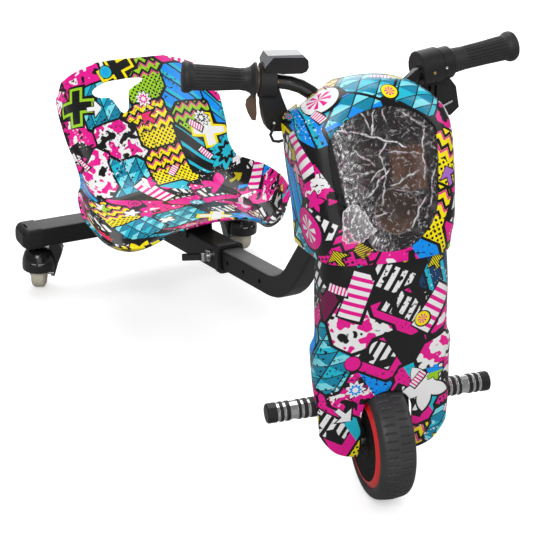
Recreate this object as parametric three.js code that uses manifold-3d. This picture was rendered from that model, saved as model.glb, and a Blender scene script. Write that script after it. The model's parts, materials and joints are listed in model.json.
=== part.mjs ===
// A drift trike: a bent square tube carries a raked fork with a motor wheel and a tall printed fairing,
// and a sleeve slides on the tube with the seat, the crossbar and two hooded casters.
// Lengths are millimetres, X is across, Y runs to the rear and Z is up. The steering rests turned.
import * as THREE from "three";
import { mergeVertices } from "three/addons/utils/BufferGeometryUtils.js";
import Module from "manifold-3d";

const wasm = await Module();
wasm.setup();

// Joins and clearances
const RUNNING_GAP = 0.35;
const WELD_DEPTH = 2;
const MERGE_DISTANCE = 0.0005;

// How many sides the round pieces have, by their size
const FEW_SIDES = 8;
const SOME_SIDES = 12;
const MANY_SIDES = 18;
const WHEEL_SIDES = 30;

// Front wheel, its axle along X. The tyre's shares are of its height and of half its width
const WHEEL_RADIUS = 100;
const TYRE_HEIGHT = 22.8;
const TYRE_HALF_WIDTH = 30;
const TYRE_SHARES = [
  [0, 0.83], [0.1, 0.95], [0.34, 1], [0.67, 0.93], [0.89, 0.72], [0.97, 0.27], [1, 0],
];
const HUB_HALF_WIDTH = 24.5;
const RING_LAP = 1.4;
const RING_WIDTH = 6;
const RING_LIFT = 4.5;
const RING_THICKNESS = 2.6;
const COVER_THICKNESS = 4.5;
const COVER_DISH = 3;
const COVER_RIM_WIDTH = 12;
const COVER_BORE = 9.4;
const AXLE_RADIUS = 6;
const AXLE_SHOULDER = 9;
const AXLE_STICK_OUT = 15;
const NUT_RADIUS = 10.5;
const NUT_HEIGHT = 8.5;
const NUT_CROWN = 3;

// Steering axis, raked back at the top and passing behind the axle
const RAKE_DEGREES = 12;
const REST_TURN_DEGREES = -13.2;
const AXIS_OFFSET = 15;

// Fork, measured up the steering axis from the level of the axle
const BLADE_INNER = 38;
const BLADE_THICKNESS = 7;
const BLADE_HALF_DEPTH = 17;
const DROPOUT_RADIUS = 15;
const CROWN_OVER_TYRE = 18;
const CROWN_THICKNESS = 10;
const COLUMN_RADIUS = 19;
const COLUMN_LENGTH = 256;
const STEERER_RADIUS = 12.7;
const STEERER_IN_STEM = 13;
const BEARING_HEIGHT = 4;
const HEAD_LENGTH = 112;
const HEAD_RADIUS = 22;
const HEAD_BORE = 14.5;
const SPACER_HEIGHT = 1;
const STEM_RADIUS = 18;
const STEM_RISE = 29.8;
const CLAMP_HALF_LENGTH = 25;
const CLAMP_HALF_DEPTH = 18;
const CLAMP_HALF_HEIGHT = 17;
const SCREW_INSET = 8;
const SCREW_HEAD_RADIUS = 4;
const SCREW_HEAD_HEIGHT = 3;

// Foot pegs: how far behind and above the axle, and the silver bands as shares in from the outer end
const PEG_BACK = 13.7;
const PEG_RISE = 68.5;
const PEG_STAND_OFF = 57.5;
const PEG_LENGTH = 85;
const PEG_RADIUS = 16.2;
const PEG_BAND_RADIUS = 15;
const PEG_CHAMFER = 1.8;
const PEG_NECK_RADIUS = 6.6;
const PEG_STUD_RADIUS = 4.5;
const PEG_STUD_PAST_BLADE = 1;
const PEG_BAND_SHARES = [
  [0.19, 0.24], [0.31, 0.36], [0.44, 0.59], [0.65, 0.7], [0.78, 0.83],
];
const PEG_HOLE_RADIUS = 4;
const PEG_HOLE_DEGREES = 145;

// Handlebar: the bend between the stem and the grip, as shares of the way to where the grip starts
const BAR_RADIUS = 11.1;
const BAR_BORE = 8.9;
const BAR_SHARES = [
  [0.26, 0.02, 0.02], [0.35, 0.1, 0.14], [0.43, 0.22, 0.34], [0.51, 0.35, 0.59], [0.6, 0.5, 0.78],
  [0.7, 0.66, 0.89], [0.81, 0.83, 0.94],
];
const GRIP_ACROSS = 155;
const GRIP_BACK = 163;
const GRIP_HEIGHT = 667;
const GRIP_SWEEP_DEGREES = 8.7;
const GRIP_RISE_DEGREES = 5.1;
const GRIP_LENGTH = 113;
const GRIP_RADIUS = 21.6;
// Along the grip as a share of its length, and its radius as a share of the end bulb's
const GRIP_SHARES = [
  [0, 0.81], [0.05, 0.81], [0.21, 0.76], [0.51, 0.78], [0.85, 0.83], [0.89, 0.95], [0.92, 1],
  [0.96, 0.99], [0.99, 0.91],
];
// The flare by the throttle: along it, then between the grip's radius and the flare's
const FLARE_START = 3.7;
const FLARE_LENGTH = 25.3;
const FLARE_RADIUS = 26.6;
const FLARE_FOOT_RADIUS = 16.6;
const FLARE_SHARES = [
  [0, 1], [0.11, 1], [0.23, 0.7], [0.37, 0.34], [0.6, 0.12], [1, 0],
];
const GRIP_END_WALL = 4.5;
const BAR_END_GAP = 2;

// Throttle and gauge. Their outlines are shares of the sizes below, across and down or up from the
// point where the grip starts, and their depths run forward and back from it
const THROTTLE_RADIUS = 27;
const THROTTLE_LENGTH = 25.5;
const THROTTLE_SET_BACK = 1;
const LOBE_WIDTH = 47;
const LOBE_DROP = 82;
const LOBE_SHARES = [
  [0.06, 0.09], [0.07, 0.5], [0.12, 0.74], [0.21, 0.91], [0.34, 0.98], [0.72, 1], [0.91, 0.93],
  [1, 0.76], [0.89, 0.57], [0.73, 0.33], [0.6, 0.09],
];
const LOBE_FRONT = 14;
const LOBE_BACK = 9;
const GAUGE_WIDTH = 74;
const GAUGE_RISE = 39;
const GAUGE_SHARES = [
  [0.08, 0.49], [0.09, 0.67], [0.26, 1], [0.91, 0.9], [0.99, 0.78], [1, 0.49], [0.95, 0.33],
  [0.85, 0.27], [0.45, 0.32],
];
const GAUGE_FRONT = 22;
const GAUGE_BACK = 5;
const WINDOW_SHARES = [
  [0.07, 0.59], [0.05, 0.85], [0.13, 1.13], [0.86, 1.04], [0.92, 0.91], [0.25, 1.02], [0.08, 0.68],
];
const WINDOW_OVERHANG = 1;
// The thumb lever hangs from its ring: out along the grip by its width, and down by its length
const PADDLE_WIDTH = 14.5;
const PADDLE_LENGTH = 70;
const PADDLE_SHARES = [
  [-0.03, -0.19], [0.22, -0.19], [0.22, -0.39], [0.62, -0.44], [0.97, -0.54], [1, -0.67],
  [0.69, -0.83], [0.21, -0.99], [-0.24, -1], [-0.28, -0.83], [-0.14, -0.6], [-0.03, -0.41],
];
const PADDLE_FRONT = 16;
const PADDLE_THICKNESS = 4.2;
const PADDLE_RING_RADIUS = 20;
const CABLE_RADIUS = 2.4;
const CABLE_ROUTE = [
  [-133, 146.2, 602], [-136, 144.5, 594], [-141, 145, 583], [-137, 144, 573], [-128, 146, 570], [-117,
    144, 573],
  [-105, 134, 571], [-94, 112, 545], [-86, 78, 500], [-66, 42, 455], [-48, 16, 428], [-44, 4, 412.4],
];

// Controls of the rider's left hand, on the +X side, placed from the point where that grip starts
const SWITCH_RADIUS = 28.5;
const SWITCH_LENGTH = 37.4;
const BRAKE_RING_RADIUS = 25.5;
const BRAKE_RING_LENGTH = 19;
const BRAKE_SET_BACK = 1;
const BRAKE_WIDTH = 62;
const BRAKE_DROP = 86;
const BRAKE_SHARES = [
  [-1, 0.38], [-0.79, 0.35], [-0.68, 0.26], [-0.45, 0.17], [-0.11, 0.2], [0, 0.3], [0.15, 0.44],
  [0.22, 0.71], [0.26, 0.85], [0.03, 1], [-0.56, 0.81], [-0.97, 0.6],
];
const BRAKE_FRONT = 11;
const BRAKE_BACK = 15;
// The groove for the cable's end: its foot and its two sides, as shares of the same width and drop
const BRAKE_GROOVE_SHARES = [
  [-0.6, -0.37, 0.63, 0.745], [-0.6, -0.53, 0.385, 0.65], [-0.435, -0.37, 0.385, 0.65],
];
const BRAKE_GROOVE_DEPTH = 9;
const ROD_RADIUS = 2.2;
const ROD_SHARES = [[0.05, 0.703], [-0.226, 0.797]];
const LEVER_PIVOT_IN = 12;
const LEVER_PIVOT_BACK = 6;
const LEVER_PIVOT_DROP = 66;
const LEVER_THICKNESS = 6;
const LEVER_SIDE_ROOM = 0.6;
const LEVER_HUB = 12;
const LEVER_HUB_SHARES = [[-0.75, -0.75], [0.75, -0.75], [0.92, 0.5], [0.58, 1], [-0.75, 1]];
const LEVER_SWING_ROOM = 4;
const LEVER_ARM_LENGTH = 62;
const LEVER_ARM_WIDTH = 13;
const LEVER_PIN_RADIUS = 3;

// Fairing. Each row is a rib: the middle's depth and height, then the corner's and the rear edge's
// width, depth and height. Widths are shares of SHELL_HALF_WIDTH and depths of SHELL_LENGTH behind the
// front; heights are shares of each moulding's own rise
const SHELL_WALL = 3.2;
const SHELL_CORNER = 28;
const SHELL_HALF_WIDTH = 126;
const SHELL_FRONT = 37.3;
const SHELL_LENGTH = 197.3;
const SHELL_OVER_BAR = 61.01;
const UPPER_RISE = 249;
const UPPER_SHARES = [
  [0, 0, 0.815, 0.115, -0.01, 0.95, 0.615, -0.025],
  [0.015, 0.09, 0.84, 0.125, 0.07, 0.96, 0.63, 0.055],
  [0.045, 0.175, 0.89, 0.15, 0.155, 0.96, 0.65, 0.135],
  [0.1, 0.295, 0.92, 0.2, 0.275, 0.97, 0.695, 0.255],
  [0.16, 0.435, 0.935, 0.25, 0.415, 0.985, 0.755, 0.395],
  [0.21, 0.555, 0.95, 0.31, 0.525, 0.995, 0.805, 0.505],
  [0.265, 0.675, 0.96, 0.38, 0.645, 1, 0.85, 0.615],
  [0.33, 0.825, 0.945, 0.455, 0.745, 1, 0.88, 0.675],
  [0.41, 0.945, 0.89, 0.515, 0.805, 0.985, 0.9, 0.71],
  [0.57, 1, 0.825, 0.645, 0.84, 0.92, 0.935, 0.745],
  [0.785, 0.98, 0.73, 0.82, 0.845, 0.81, 0.955, 0.775],
  [1, 0.915, 0.51, 0.95, 0.88, 0.635, 0.98, 0.835],
];
const SHELL_LAP = 8;
const LOWER_RISE = 356;
const LOWER_SHARES = [
  [0.085, 0, 0.84, 0.12, 0, 0.81, 0.16, 0], [0.065, 0.12, 0.865, 0.11, 0.12, 0.84, 0.15, 0.12],
  [0.055, 0.235, 0.88, 0.105, 0.235, 0.865, 0.17, 0.235],
  [0.045, 0.34, 0.89, 0.105, 0.34, 0.89, 0.24, 0.34],
  [0.035, 0.465, 0.895, 0.105, 0.465, 0.895, 0.305, 0.465],
  [0.03, 0.53, 0.895, 0.105, 0.53, 0.895, 0.315, 0.53],
  [0.025, 0.585, 0.85, 0.11, 0.585, 0.84, 0.315, 0.585],
  [0.015, 0.69, 0.835, 0.11, 0.69, 0.835, 0.325, 0.69],
  [0.01, 0.805, 0.825, 0.11, 0.805, 0.835, 0.335, 0.805],
  [0.01, 0.915, 0.8, 0.115, 0.915, 0.82, 0.345, 0.915], [0.025, 1, 0.775, 0.14, 1, 0.825, 0.355, 1],
];
// The wheel arch: its half width and the height of its round top, then the rising cut to each side
const ARCH_HALF_WIDTH = 43;
const ARCH_OVER_TYRE = 5;
const ARCH_ROUND = 45;
const ARCH_SHARES = [
  [1, 0], [0.93, 0.4], [0.72, 0.73], [0.4, 0.93], [0, 1],
];
const SKIRT_RISE = 49;
const SKIRT_SHARES = [
  [0.85, 1], [0.82, 0.76], [0.71, 0.39], [0.62, 0.18], [0.51, 0.07], [0.41, 0.02],
];
const SHELL_REACH = 60;
const NOTCH_ABOVE = 26;
const NOTCH_BELOW = 32;
const NOTCH_AHEAD = 5;
// Half of the lens opening seen from the front: shares of the shell's half width and of the upper rise
const LENS_SHARES = [
  [0, 0.9], [0.268, 0.874], [0.46, 0.824], [0.618, 0.757], [0.68, 0.698], [0.687, 0.614],
  [0.666, 0.454], [0.632, 0.302], [0.59, 0.235], [0.467, 0.151], [0.247, 0.075], [0.096, 0.058],
];
const LENS_OVERLAP = 6;
const LENS_THICKNESS = 2.6;
const TRAY_DEPTH = 17;
const TRAY_WALL = 2;
const LAMP_BAR_HALF = 16;
const LAMP_BAR_THICKNESS = 3;
const LAMP_BAR_DROP = 11;

// Pieces hidden behind the fairing; the bracket's foot is placed on the rise of the lower shell
const BRACKET_FOOT_SHARE = 0.6124;
const BATTERY = { halfWidth: 72, front: -18, back: 20, overTyre: 46, underShell: 22, edge: 6 };
const BRACKET = { height: 26, plate: 3, halfClamp: 27, clampDepth: 65, tab: 2.8, inset: 31 };

// Main tube: it lies pitched in the sleeve, bends up and ends on the head tube
const TUBE_HALF = 20;
const TUBE_CORNER = 5;
const TUBE_WALL = 2;
const RAIL_PITCH_DEGREES = 8.3;
const BEND_AHEAD = 240.5;
const BEND_RADIUS = 113;
const RISE_DEGREES = 56.5;
const RISE_JOIN = 63.445;
const TUBE_INSERT = 200;
const HOLE_START = -165.3;
const HOLE_PITCH = 63.4;
const HOLE_RADIUS = 4.6;
const HOLE_COUNT = 5;
const BEND_STEPS = 7;

// Sleeve, crossbar and clamp, in the pitched frame of the tube with the mouth at 0
const SLEEVE_WALL = 4.4;
const SLIDE_GAP = 0.6;
const SLEEVE_LENGTH = 362;
const COLLAR_WALL = 2.5;
const COLLAR_LENGTH = 13;
const COLLAR_CORNER = 9;
const CROSSBAR_HALF_DEPTH = 28.5;
const CROSSBAR_HALF_HEIGHT = 20;
const CROSSBAR_CORNER = 7;
const CROSSBAR_WALL = 2.5;
const CROSSBAR_HALF_LENGTH = 262;
const CROSSBAR_SINK = 6.4;
const CROSSBAR_DROP = 12.9;
const CAP_LAP = 24;
const CAP_OVERHANG = 15.7;
const CAP_WALL = 2;
const CAP_ROUND = 14;
// The cap's end, from the start of its round: along it and in from its sides
const CAP_SHARES = [[0, 0], [0.5, 0.125], [0.86, 0.385], [1, 0.625]];
const CAP_SLOT_LENGTH = 20;
const CAP_SLOT_WIDTH = 3.4;
const CAP_SLOT_DEPTH = 4;
const CLAMP_ALONG = 25;
const CLAMP_PIN_RADIUS = 4.2;
const CLAMP_DISC_RADIUS = 12;
const CLAMP_DISC_THICKNESS = 4.6;
const CLAMP_BARREL_RADIUS = 6.5;
const CLAMP_BARREL_OUT = 13.5;
const CLAMP_BARREL_HALF = 8.5;
const CLAMP_BARREL_CHAMFER = 1;
const CLAMP_LEVER_LENGTH = 50;
const CLAMP_LEVER_WIDTH = 12;
const CLAMP_LEVER_HEIGHT = 11;
const CLAMP_LEVER_GRIP = 3;
const CLAMP_LEVER_DEGREES = 28;

// Seat ribs from the front edge to the top of the back, as shares: the centre's depth and height, then
// the lower corner's and the rim's width, depth and height
const SEAT_WALL = 5;
const SEAT_CORNER = 55;
const SEAT_HALF_WIDTH = 218;
const SEAT_LENGTH = 412;
const SEAT_RISE = 279;
const SEAT_PAST_MOUTH = 44;
const SEAT_DROP = 23.3;
const SEAT_SHARES = [
  [0, 0.295, 0.69, 0.11, 0.065, 0.915, 0.205, 0.16],
  [0.04, 0.27, 0.735, 0.175, 0.005, 0.985, 0.255, 0.235],
  [0.11, 0.25, 0.79, 0.255, 0, 1, 0.31, 0.27], [0.245, 0.22, 0.79, 0.35, 0.05, 0.985, 0.37, 0.31],
  [0.415, 0.195, 0.755, 0.475, 0.11, 0.93, 0.46, 0.34],
  [0.545, 0.21, 0.69, 0.58, 0.16, 0.845, 0.54, 0.35],
  [0.65, 0.28, 0.65, 0.65, 0.23, 0.78, 0.635, 0.36],
  [0.73, 0.41, 0.645, 0.73, 0.35, 0.77, 0.71, 0.435],
  [0.82, 0.615, 0.675, 0.835, 0.565, 0.8, 0.77, 0.55],
  [0.91, 0.81, 0.69, 0.93, 0.76, 0.81, 0.86, 0.71],
  [0.97, 0.935, 0.69, 0.975, 0.875, 0.785, 0.925, 0.81],
  [1, 1, 0.595, 0.995, 0.955, 0.715, 0.98, 0.88],
];
// Handle opening seen square to the seat back: across, then up the back from its middle
const HANDLE_HALF_WIDTH = 101;
const HANDLE_HALF_HEIGHT = 49;
const HANDLE_SHARES = [
  [-1, 0.08], [-0.92, -0.16], [-0.75, -0.22], [-0.61, -0.27], [-0.51, -0.71], [-0.44, -1],
  [-0.33, -0.98], [-0.26, -0.8], [-0.2, -0.24], [-0.14, 0.04], [0.18, 0.33], [0.2, 0.49],
  [-0.22, 0.55], [-0.63, 0.51], [-0.91, 0.29],
];
const HANDLE_RIB_SHARE = 9 / 11;
const HANDLE_PITCH_DEGREES = 56.5;
const SEAT_BRACKET = { halfWidth: 58, front: 120, length: 130, plate: 3, lap: 3.9, foot: 13 };
const SEAT_BOLT = { radius: 4, head: 8, headHeight: 4, along: 25, inset: 16, chamfer: 1 };

// Hooded casters
const CASTER_INSET = 27;
const CASTER_SET_BACK = 5.7;
const CASTER_RADIUS = 31;
const CASTER_HALF_WIDTH = 14.5;
const CASTER_EDGE = 7;
const CASTER_TRAIL = 5;
const CASTER_ROOM = 2;
const CASTER_YAW_DEGREES = [-28, 5];
const CASTER_PIN = 4;
const CASTER_PIN_HEAD = 7;
const CASTER_PIN_HEAD_HEIGHT = 5;
const CASTER_PIN_PAST = 14;
const PLATE_RADIUS = 15;
const PLATE_HEIGHT = 9;
const STEM_SHAFT = 6;
const STEM_HEAD = 10;
const STEM_HEAD_HEIGHT = 4;
// The hood from its top down: shares of its radius and of its height over its lower edge
const HOOD_RADIUS = 34;
const HOOD_BOTTOM = 44;
const HOOD_HEIGHT = 46;
const HOOD_GAP = 3.1;
const HOOD_SHARES = [
  [0.21, 1], [0.41, 1], [0.68, 0.92], [0.87, 0.74], [0.97, 0.5], [1, 0.24], [0.99, 0],
];
const HOOD_WALL = 2.6;
const HOOD_ROOF = 4;
const HOOD_INSIDE_SHARES = [
  [0.99, 0], [1, 0.26], [0.97, 0.52], [0.86, 0.75], [0.67, 0.93], [0.45, 1], [0.22, 1],
];
const HOOD_SLOTS_DEGREES = [-104, -72];
const HOOD_SLOT_LENGTH = 14;
const HOOD_SLOT_HEIGHT = 5.5;
const HOOD_SLOT_RISE = 19;
// The arm that holds the axle: shares of its reach and of its height over its foot
const TAIL_REACH = 49.5;
const TAIL_FOOT = 15;
const TAIL_HEIGHT = 84.5;
const TAIL_SHARES = [
  [0.4, 0.56], [0.44, 0.98], [0.77, 1], [0.93, 0.92], [1, 0.82], [0.93, 0.67], [0.81, 0.49],
  [0.67, 0.18], [0.59, 0.05], [0.46, 0], [0.37, 0.04], [0.35, 0.2],
];
const TAIL_FRONT = 2;
const TAIL_BACK = 22;
const BAND_WALL = 1.1;
const BAND_GAP = 1.3;
const BAND_HEIGHT = 12;
const BAND_RISE = 8;

const DEGREE = Math.PI / 180;
const ACROSS = new THREE.Vector3(1, 0, 0);
const UP = new THREE.Vector3(0, 0, 1);

// Solids

// Six times the volume inside a list of corners, positive when the faces look outward
function signedVolume(corners, faces) {
  const a = new THREE.Vector3();
  const b = new THREE.Vector3();
  const c = new THREE.Vector3();
  let sum = 0;
  for (let i = 0; i < faces.length; i += 3) {
    a.fromArray(corners, faces[i] * 3);
    b.fromArray(corners, faces[i + 1] * 3);
    c.fromArray(corners, faces[i + 2] * 3);
    sum += a.dot(b.cross(c));
  }
  return sum;
}

// A closed solid from a geometry, with its collapsed faces left out and the rest facing out
function solidFrom(geometry) {
  const flat = geometry.index ? geometry.toNonIndexed() : geometry;
  const bare = new THREE.BufferGeometry();
  bare.setAttribute("position", flat.getAttribute("position").clone());
  const merged = mergeVertices(bare, MERGE_DISTANCE);
  const corners = merged.attributes.position.array;
  const faces = [];
  for (let i = 0; i < merged.index.count; i += 3) {
    const [p, q, r] = [0, 1, 2].map((k) => merged.index.getX(i + k));
    if (p !== q && q !== r && r !== p) faces.push(p, q, r);
  }
  if (signedVolume(corners, faces) < 0) faces.reverse();
  return new wasm.Manifold(
    new wasm.Mesh({ numProp: 3, vertProperties: corners, triVerts: new Uint32Array(faces) }),
  );
}

function geometryFrom(solid) {
  const mesh = solid.getMesh();
  const points = new Float32Array(mesh.numVert * 3);
  for (let i = 0; i < mesh.numVert; i += 1) {
    points.set(mesh.vertProperties.subarray(i * mesh.numProp, i * mesh.numProp + 3), i * 3);
  }
  const geometry = new THREE.BufferGeometry();
  geometry.setAttribute("position", new THREE.BufferAttribute(points, 3));
  geometry.setIndex(new THREE.BufferAttribute(mesh.triVerts, 1));
  return geometry;
}

function join(...geometries) {
  return geometryFrom(geometries.map(solidFrom).reduce((whole, piece) => whole.add(piece)));
}

function cut(geometry, ...tools) {
  return geometryFrom(tools.map(solidFrom).reduce((whole, tool) => whole.subtract(tool),
    solidFrom(geometry)));
}

function common(first, second) {
  return geometryFrom(solidFrom(first).intersect(solidFrom(second)));
}

// Shapes

// Turns a profile of radius and distance pairs about one of the three axes
function revolve(profile, axis, segments, start = 0) {
  const points = profile.map(([radius, along]) => new THREE.Vector2(radius, along));
  const geometry = new THREE.LatheGeometry(points, segments, start);
  if (axis === "z") geometry.rotateX(Math.PI / 2);
  if (axis === "x") geometry.rotateZ(-Math.PI / 2);
  return geometry;
}

function ring(profile, axis, segments) {
  return revolve([...profile, profile[0]], axis, segments);
}

function pipe(outer, inner, from, to, axis, segments) {
  return ring([[inner, from], [outer, from], [outer, to], [inner, to]], axis, segments);
}

function rod(radius, from, to, axis, segments, chamfer = 0) {
  const middle = chamfer
    ? [[radius - chamfer, from], [radius, from + chamfer], [radius, to - chamfer], [radius - chamfer, to]]
    : [[radius, from], [radius, to]];
  return revolve([[0, from], ...middle, [0, to]], axis, segments);
}

// A straight prism on an outline: "y" takes x and z, "x" takes y and z, "z" takes x and y
function prism(outline, axis, from, to) {
  const shape = new THREE.Shape(outline.map(([u, v]) => new THREE.Vector2(u, v)));
  const geometry = new THREE.ExtrudeGeometry(shape, { depth: to - from, bevelEnabled: false, steps: 1 });
  geometry.translate(0, 0, from);
  const turns = {
    y: [ACROSS, UP, new THREE.Vector3(0, 1, 0)],
    x: [new THREE.Vector3(0, 1, 0), UP, ACROSS],
    z: [ACROSS, new THREE.Vector3(0, 1, 0), UP],
  };
  return geometry.applyMatrix4(new THREE.Matrix4().makeBasis(...turns[axis]));
}

// The corners of a rectangle with rounded corners
function roundedOutline(halfWidth, halfHeight, radius, steps) {
  const outline = [];
  for (const [quadrant, [sx, sy]] of [[1, 1], [-1, 1], [-1, -1], [1, -1]].entries()) {
    for (let i = 0; i <= steps; i += 1) {
      const angle = (quadrant + i / steps) * 90 * DEGREE;
      outline.push([
        sx * (halfWidth - radius) + radius * Math.cos(angle),
        sy * (halfHeight - radius) + radius * Math.sin(angle),
      ]);
    }
  }
  return outline;
}

function centred(outline, [u, v]) {
  return outline.map(([a, b]) => [a + u, b + v]);
}

// An outline from its shares of two sizes, measured from a spot
function sized(shares, [width, height], [u, v] = [0, 0]) {
  return shares.map(([a, b]) => [u + a * width, v + b * height]);
}

// The outline of a band along a line of points, by one margin to its left and one to its right
function beside(line, left, right) {
  const sides = [left, -right].map((margin) =>
    line.map(([u, v], i) => {
      const [pu, pv] = line[Math.max(i - 1, 0)];
      const [nu, nv] = line[Math.min(i + 1, line.length - 1)];
      const along = new THREE.Vector2(nu - pu, nv - pv).normalize();
      return [u - along.y * margin, v + along.x * margin];
    }),
  );
  return [...sides[0], ...sides[1].reverse()];
}

function box(x, y, z) {
  const geometry = new THREE.BoxGeometry(x[1] - x[0], y[1] - y[0], z[1] - z[0]);
  return geometry.translate((x[0] + x[1]) / 2, (y[0] + y[1]) / 2, (z[0] + z[1]) / 2);
}

// A closed surface through rings of points, each end closed by its own ring
function loft(rings) {
  const corners = rings.flat().flatMap((point) => point.toArray());
  const count = rings[0].length;
  const faces = [];
  for (let i = 0; i + 1 < rings.length; i += 1) {
    for (let j = 0; j < count; j += 1) {
      const a = i * count + j;
      const b = i * count + ((j + 1) % count);
      faces.push(a, b, b + count, a, b + count, a + count);
    }
  }
  const last = (rings.length - 1) * count;
  for (let j = 1; j + 1 < count; j += 1) {
    faces.push(0, j + 1, j, last, last + j, last + j + 1);
  }
  const geometry = new THREE.BufferGeometry();
  geometry.setAttribute("position", new THREE.Float32BufferAttribute(corners, 3));
  geometry.setIndex(faces);
  return geometry;
}

// A round solid along a path, its section carried from point to point without twisting
function pipeAlong(points, radius, sides) {
  const path = points.map((point) => new THREE.Vector3(...point));
  const tangents = path.map((point, i) => {
    const before = path[Math.max(i - 1, 0)];
    const after = path[Math.min(i + 1, path.length - 1)];
    return after.clone().sub(before).normalize();
  });
  const side = new THREE.Vector3().crossVectors(tangents[0], UP).normalize();
  return loft(
    path.map((point, i) => {
      if (i > 0) {
        side.applyQuaternion(new THREE.Quaternion().setFromUnitVectors(tangents[i - 1], tangents[i]));
      }
      const upward = new THREE.Vector3().crossVectors(side, tangents[i]);
      return Array.from({ length: sides }, (_, j) => {
        const angle = (j / sides) * 2 * Math.PI;
        return point
          .clone()
          .addScaledVector(side, radius * Math.cos(angle))
          .addScaledVector(upward, radius * Math.sin(angle));
      });
    }),
  );
}

// Curved shells

// A point on a rib: a cubic from the centre to the corner, a quadratic round it, a line to the edge
function ribPoint([centre, corner, edge], share, cornerReach) {
  const a = Math.abs(share);
  const start = new THREE.Vector3(0, ...centre);
  const knee = new THREE.Vector3(...corner);
  const end = new THREE.Vector3(...edge);
  const handle = start.clone().setX(knee.x / 2);
  const inward = handle.clone().sub(knee).normalize();
  const outward = end.clone().sub(knee);
  const bendStart = knee.clone().addScaledVector(inward, cornerReach);
  const bendEnd = knee.clone().addScaledVector(outward, Math.min(cornerReach / outward.length(), 4 / 5));
  const point = new THREE.Vector3();
  if (a <= 1 / 2) {
    const near = bendStart.clone().addScaledVector(inward, bendStart.distanceTo(handle) / 2);
    const curve = new THREE.CubicBezierCurve3(start, start.clone().setX(knee.x / 3), near, bendStart);
    curve.getPoint(2 * a, point);
  } else if (a <= 3 / 4) {
    new THREE.QuadraticBezierCurve3(bendStart, knee, bendEnd).getPoint(4 * a - 2, point);
  } else {
    point.lerpVectors(bendEnd, end, 4 * a - 3);
  }
  if (share < 0) point.x = -point.x;
  return point;
}

// A smooth value between the stations of a table
function between(stations, place, pick) {
  const last = stations.length - 1;
  const i = Math.min(Math.floor(place), last - 1);
  const t = place - i;
  const [p, q, r, s] = [i - 1, i, i + 1, i + 2].map((k) => pick(stations[Math.min(Math.max(k, 0), last)]));
  return q + (t * (r - p + t * (2 * p - 5 * q + 4 * r - s + t * (3 * (q - r) + s - p)))) / 2;
}

function stationAt(stations, place) {
  return stations[0].map((list, part) =>
    list.map((_, k) => between(stations, place, (station) => station[part][k])),
  );
}

// The outward normal of a shell, from its neighbours along both directions of the grid
function shellNormal(surface, place, share) {
  const small = 1 / 100;
  const above = surface(Math.min(place + small, surface.last)).at(share);
  const below = surface(Math.max(place - small, 0)).at(share);
  const right = surface(place).at(Math.min(share + small, 1));
  const left = surface(place).at(Math.max(share - small, -1));
  return right.sub(left).cross(above.sub(below)).normalize();
}

// Reads ribs of a station table: surface(place).at(share) is a point
function ribSurface(stations, cornerReach) {
  const surface = (place) => {
    const rib = stationAt(stations, place);
    return { at: (share) => ribPoint(rib, share, cornerReach) };
  };
  surface.last = stations.length - 1;
  return surface;
}

// A closed shell between two depths under a surface
function patchShell(surface, places, shares, [shallow, deep]) {
  const skins = [shallow, deep].map((depth) =>
    places.map((place) =>
      shares.map((share) =>
        surface(place).at(share).addScaledVector(shellNormal(surface, place, share), -depth),
      ),
    ),
  );
  const corners = skins.flat(2).flatMap((point) => point.toArray());
  const columns = shares.length;
  const inner = places.length * columns;
  const faces = [];
  const quad = (a, b, c, d) => faces.push(a, b, c, a, c, d);
  for (let i = 0; i + 1 < places.length; i += 1) {
    for (let j = 0; j + 1 < columns; j += 1) {
      const a = i * columns + j;
      quad(a, a + 1, a + columns + 1, a + columns);
      quad(inner + a, inner + a + columns, inner + a + columns + 1, inner + a + 1);
    }
  }
  for (let j = 0; j + 1 < columns; j += 1) {
    const top = (places.length - 1) * columns + j;
    quad(j, inner + j, inner + j + 1, j + 1);
    quad(top, top + 1, inner + top + 1, inner + top);
  }
  for (let i = 0; i + 1 < places.length; i += 1) {
    const left = i * columns;
    const right = left + columns - 1;
    quad(left, left + columns, inner + left + columns, inner + left);
    quad(right, inner + right, inner + right + columns, right + columns);
  }
  const geometry = new THREE.BufferGeometry();
  geometry.setAttribute("position", new THREE.Float32BufferAttribute(corners, 3));
  geometry.setIndex(faces);
  return geometry;
}

function mirrored(outline) {
  const other = outline.map(([u, v]) => [-u, v]).reverse();
  return [...outline, ...other].filter(([u, v], i, all) => {
    const [pu, pv] = all[(i + all.length - 1) % all.length];
    return Math.hypot(u - pu, v - pv) > MERGE_DISTANCE;
  });
}

// An outline moved outward by a margin along the mean of its two edge normals
function grown(outline, margin) {
  const turn = Math.sign(THREE.ShapeUtils.area(outline.map(([u, v]) => new THREE.Vector2(u, v))));
  return outline.map(([u, v], i) => {
    const [pu, pv] = outline[(i + outline.length - 1) % outline.length];
    const [nu, nv] = outline[(i + 1) % outline.length];
    const tangent = new THREE.Vector2(nu - pu, nv - pv).normalize();
    return [u + turn * tangent.y * margin, v - turn * tangent.x * margin];
  });
}

// The scene tree
const trike = new THREE.Group();

function addMesh(parent, name, geometry, color, roughness, metalness) {
  const flat = geometryFrom(solidFrom(geometry)).toNonIndexed();
  flat.computeVertexNormals();
  const mesh = new THREE.Mesh(flat, new THREE.MeshStandardMaterial({ color, roughness, metalness }));
  mesh.name = name;
  parent.add(mesh);
}

function addGroup(parent, position = [0, 0, 0]) {
  const group = new THREE.Group();
  group.position.set(...position);
  parent.add(group);
  return group;
}

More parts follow.
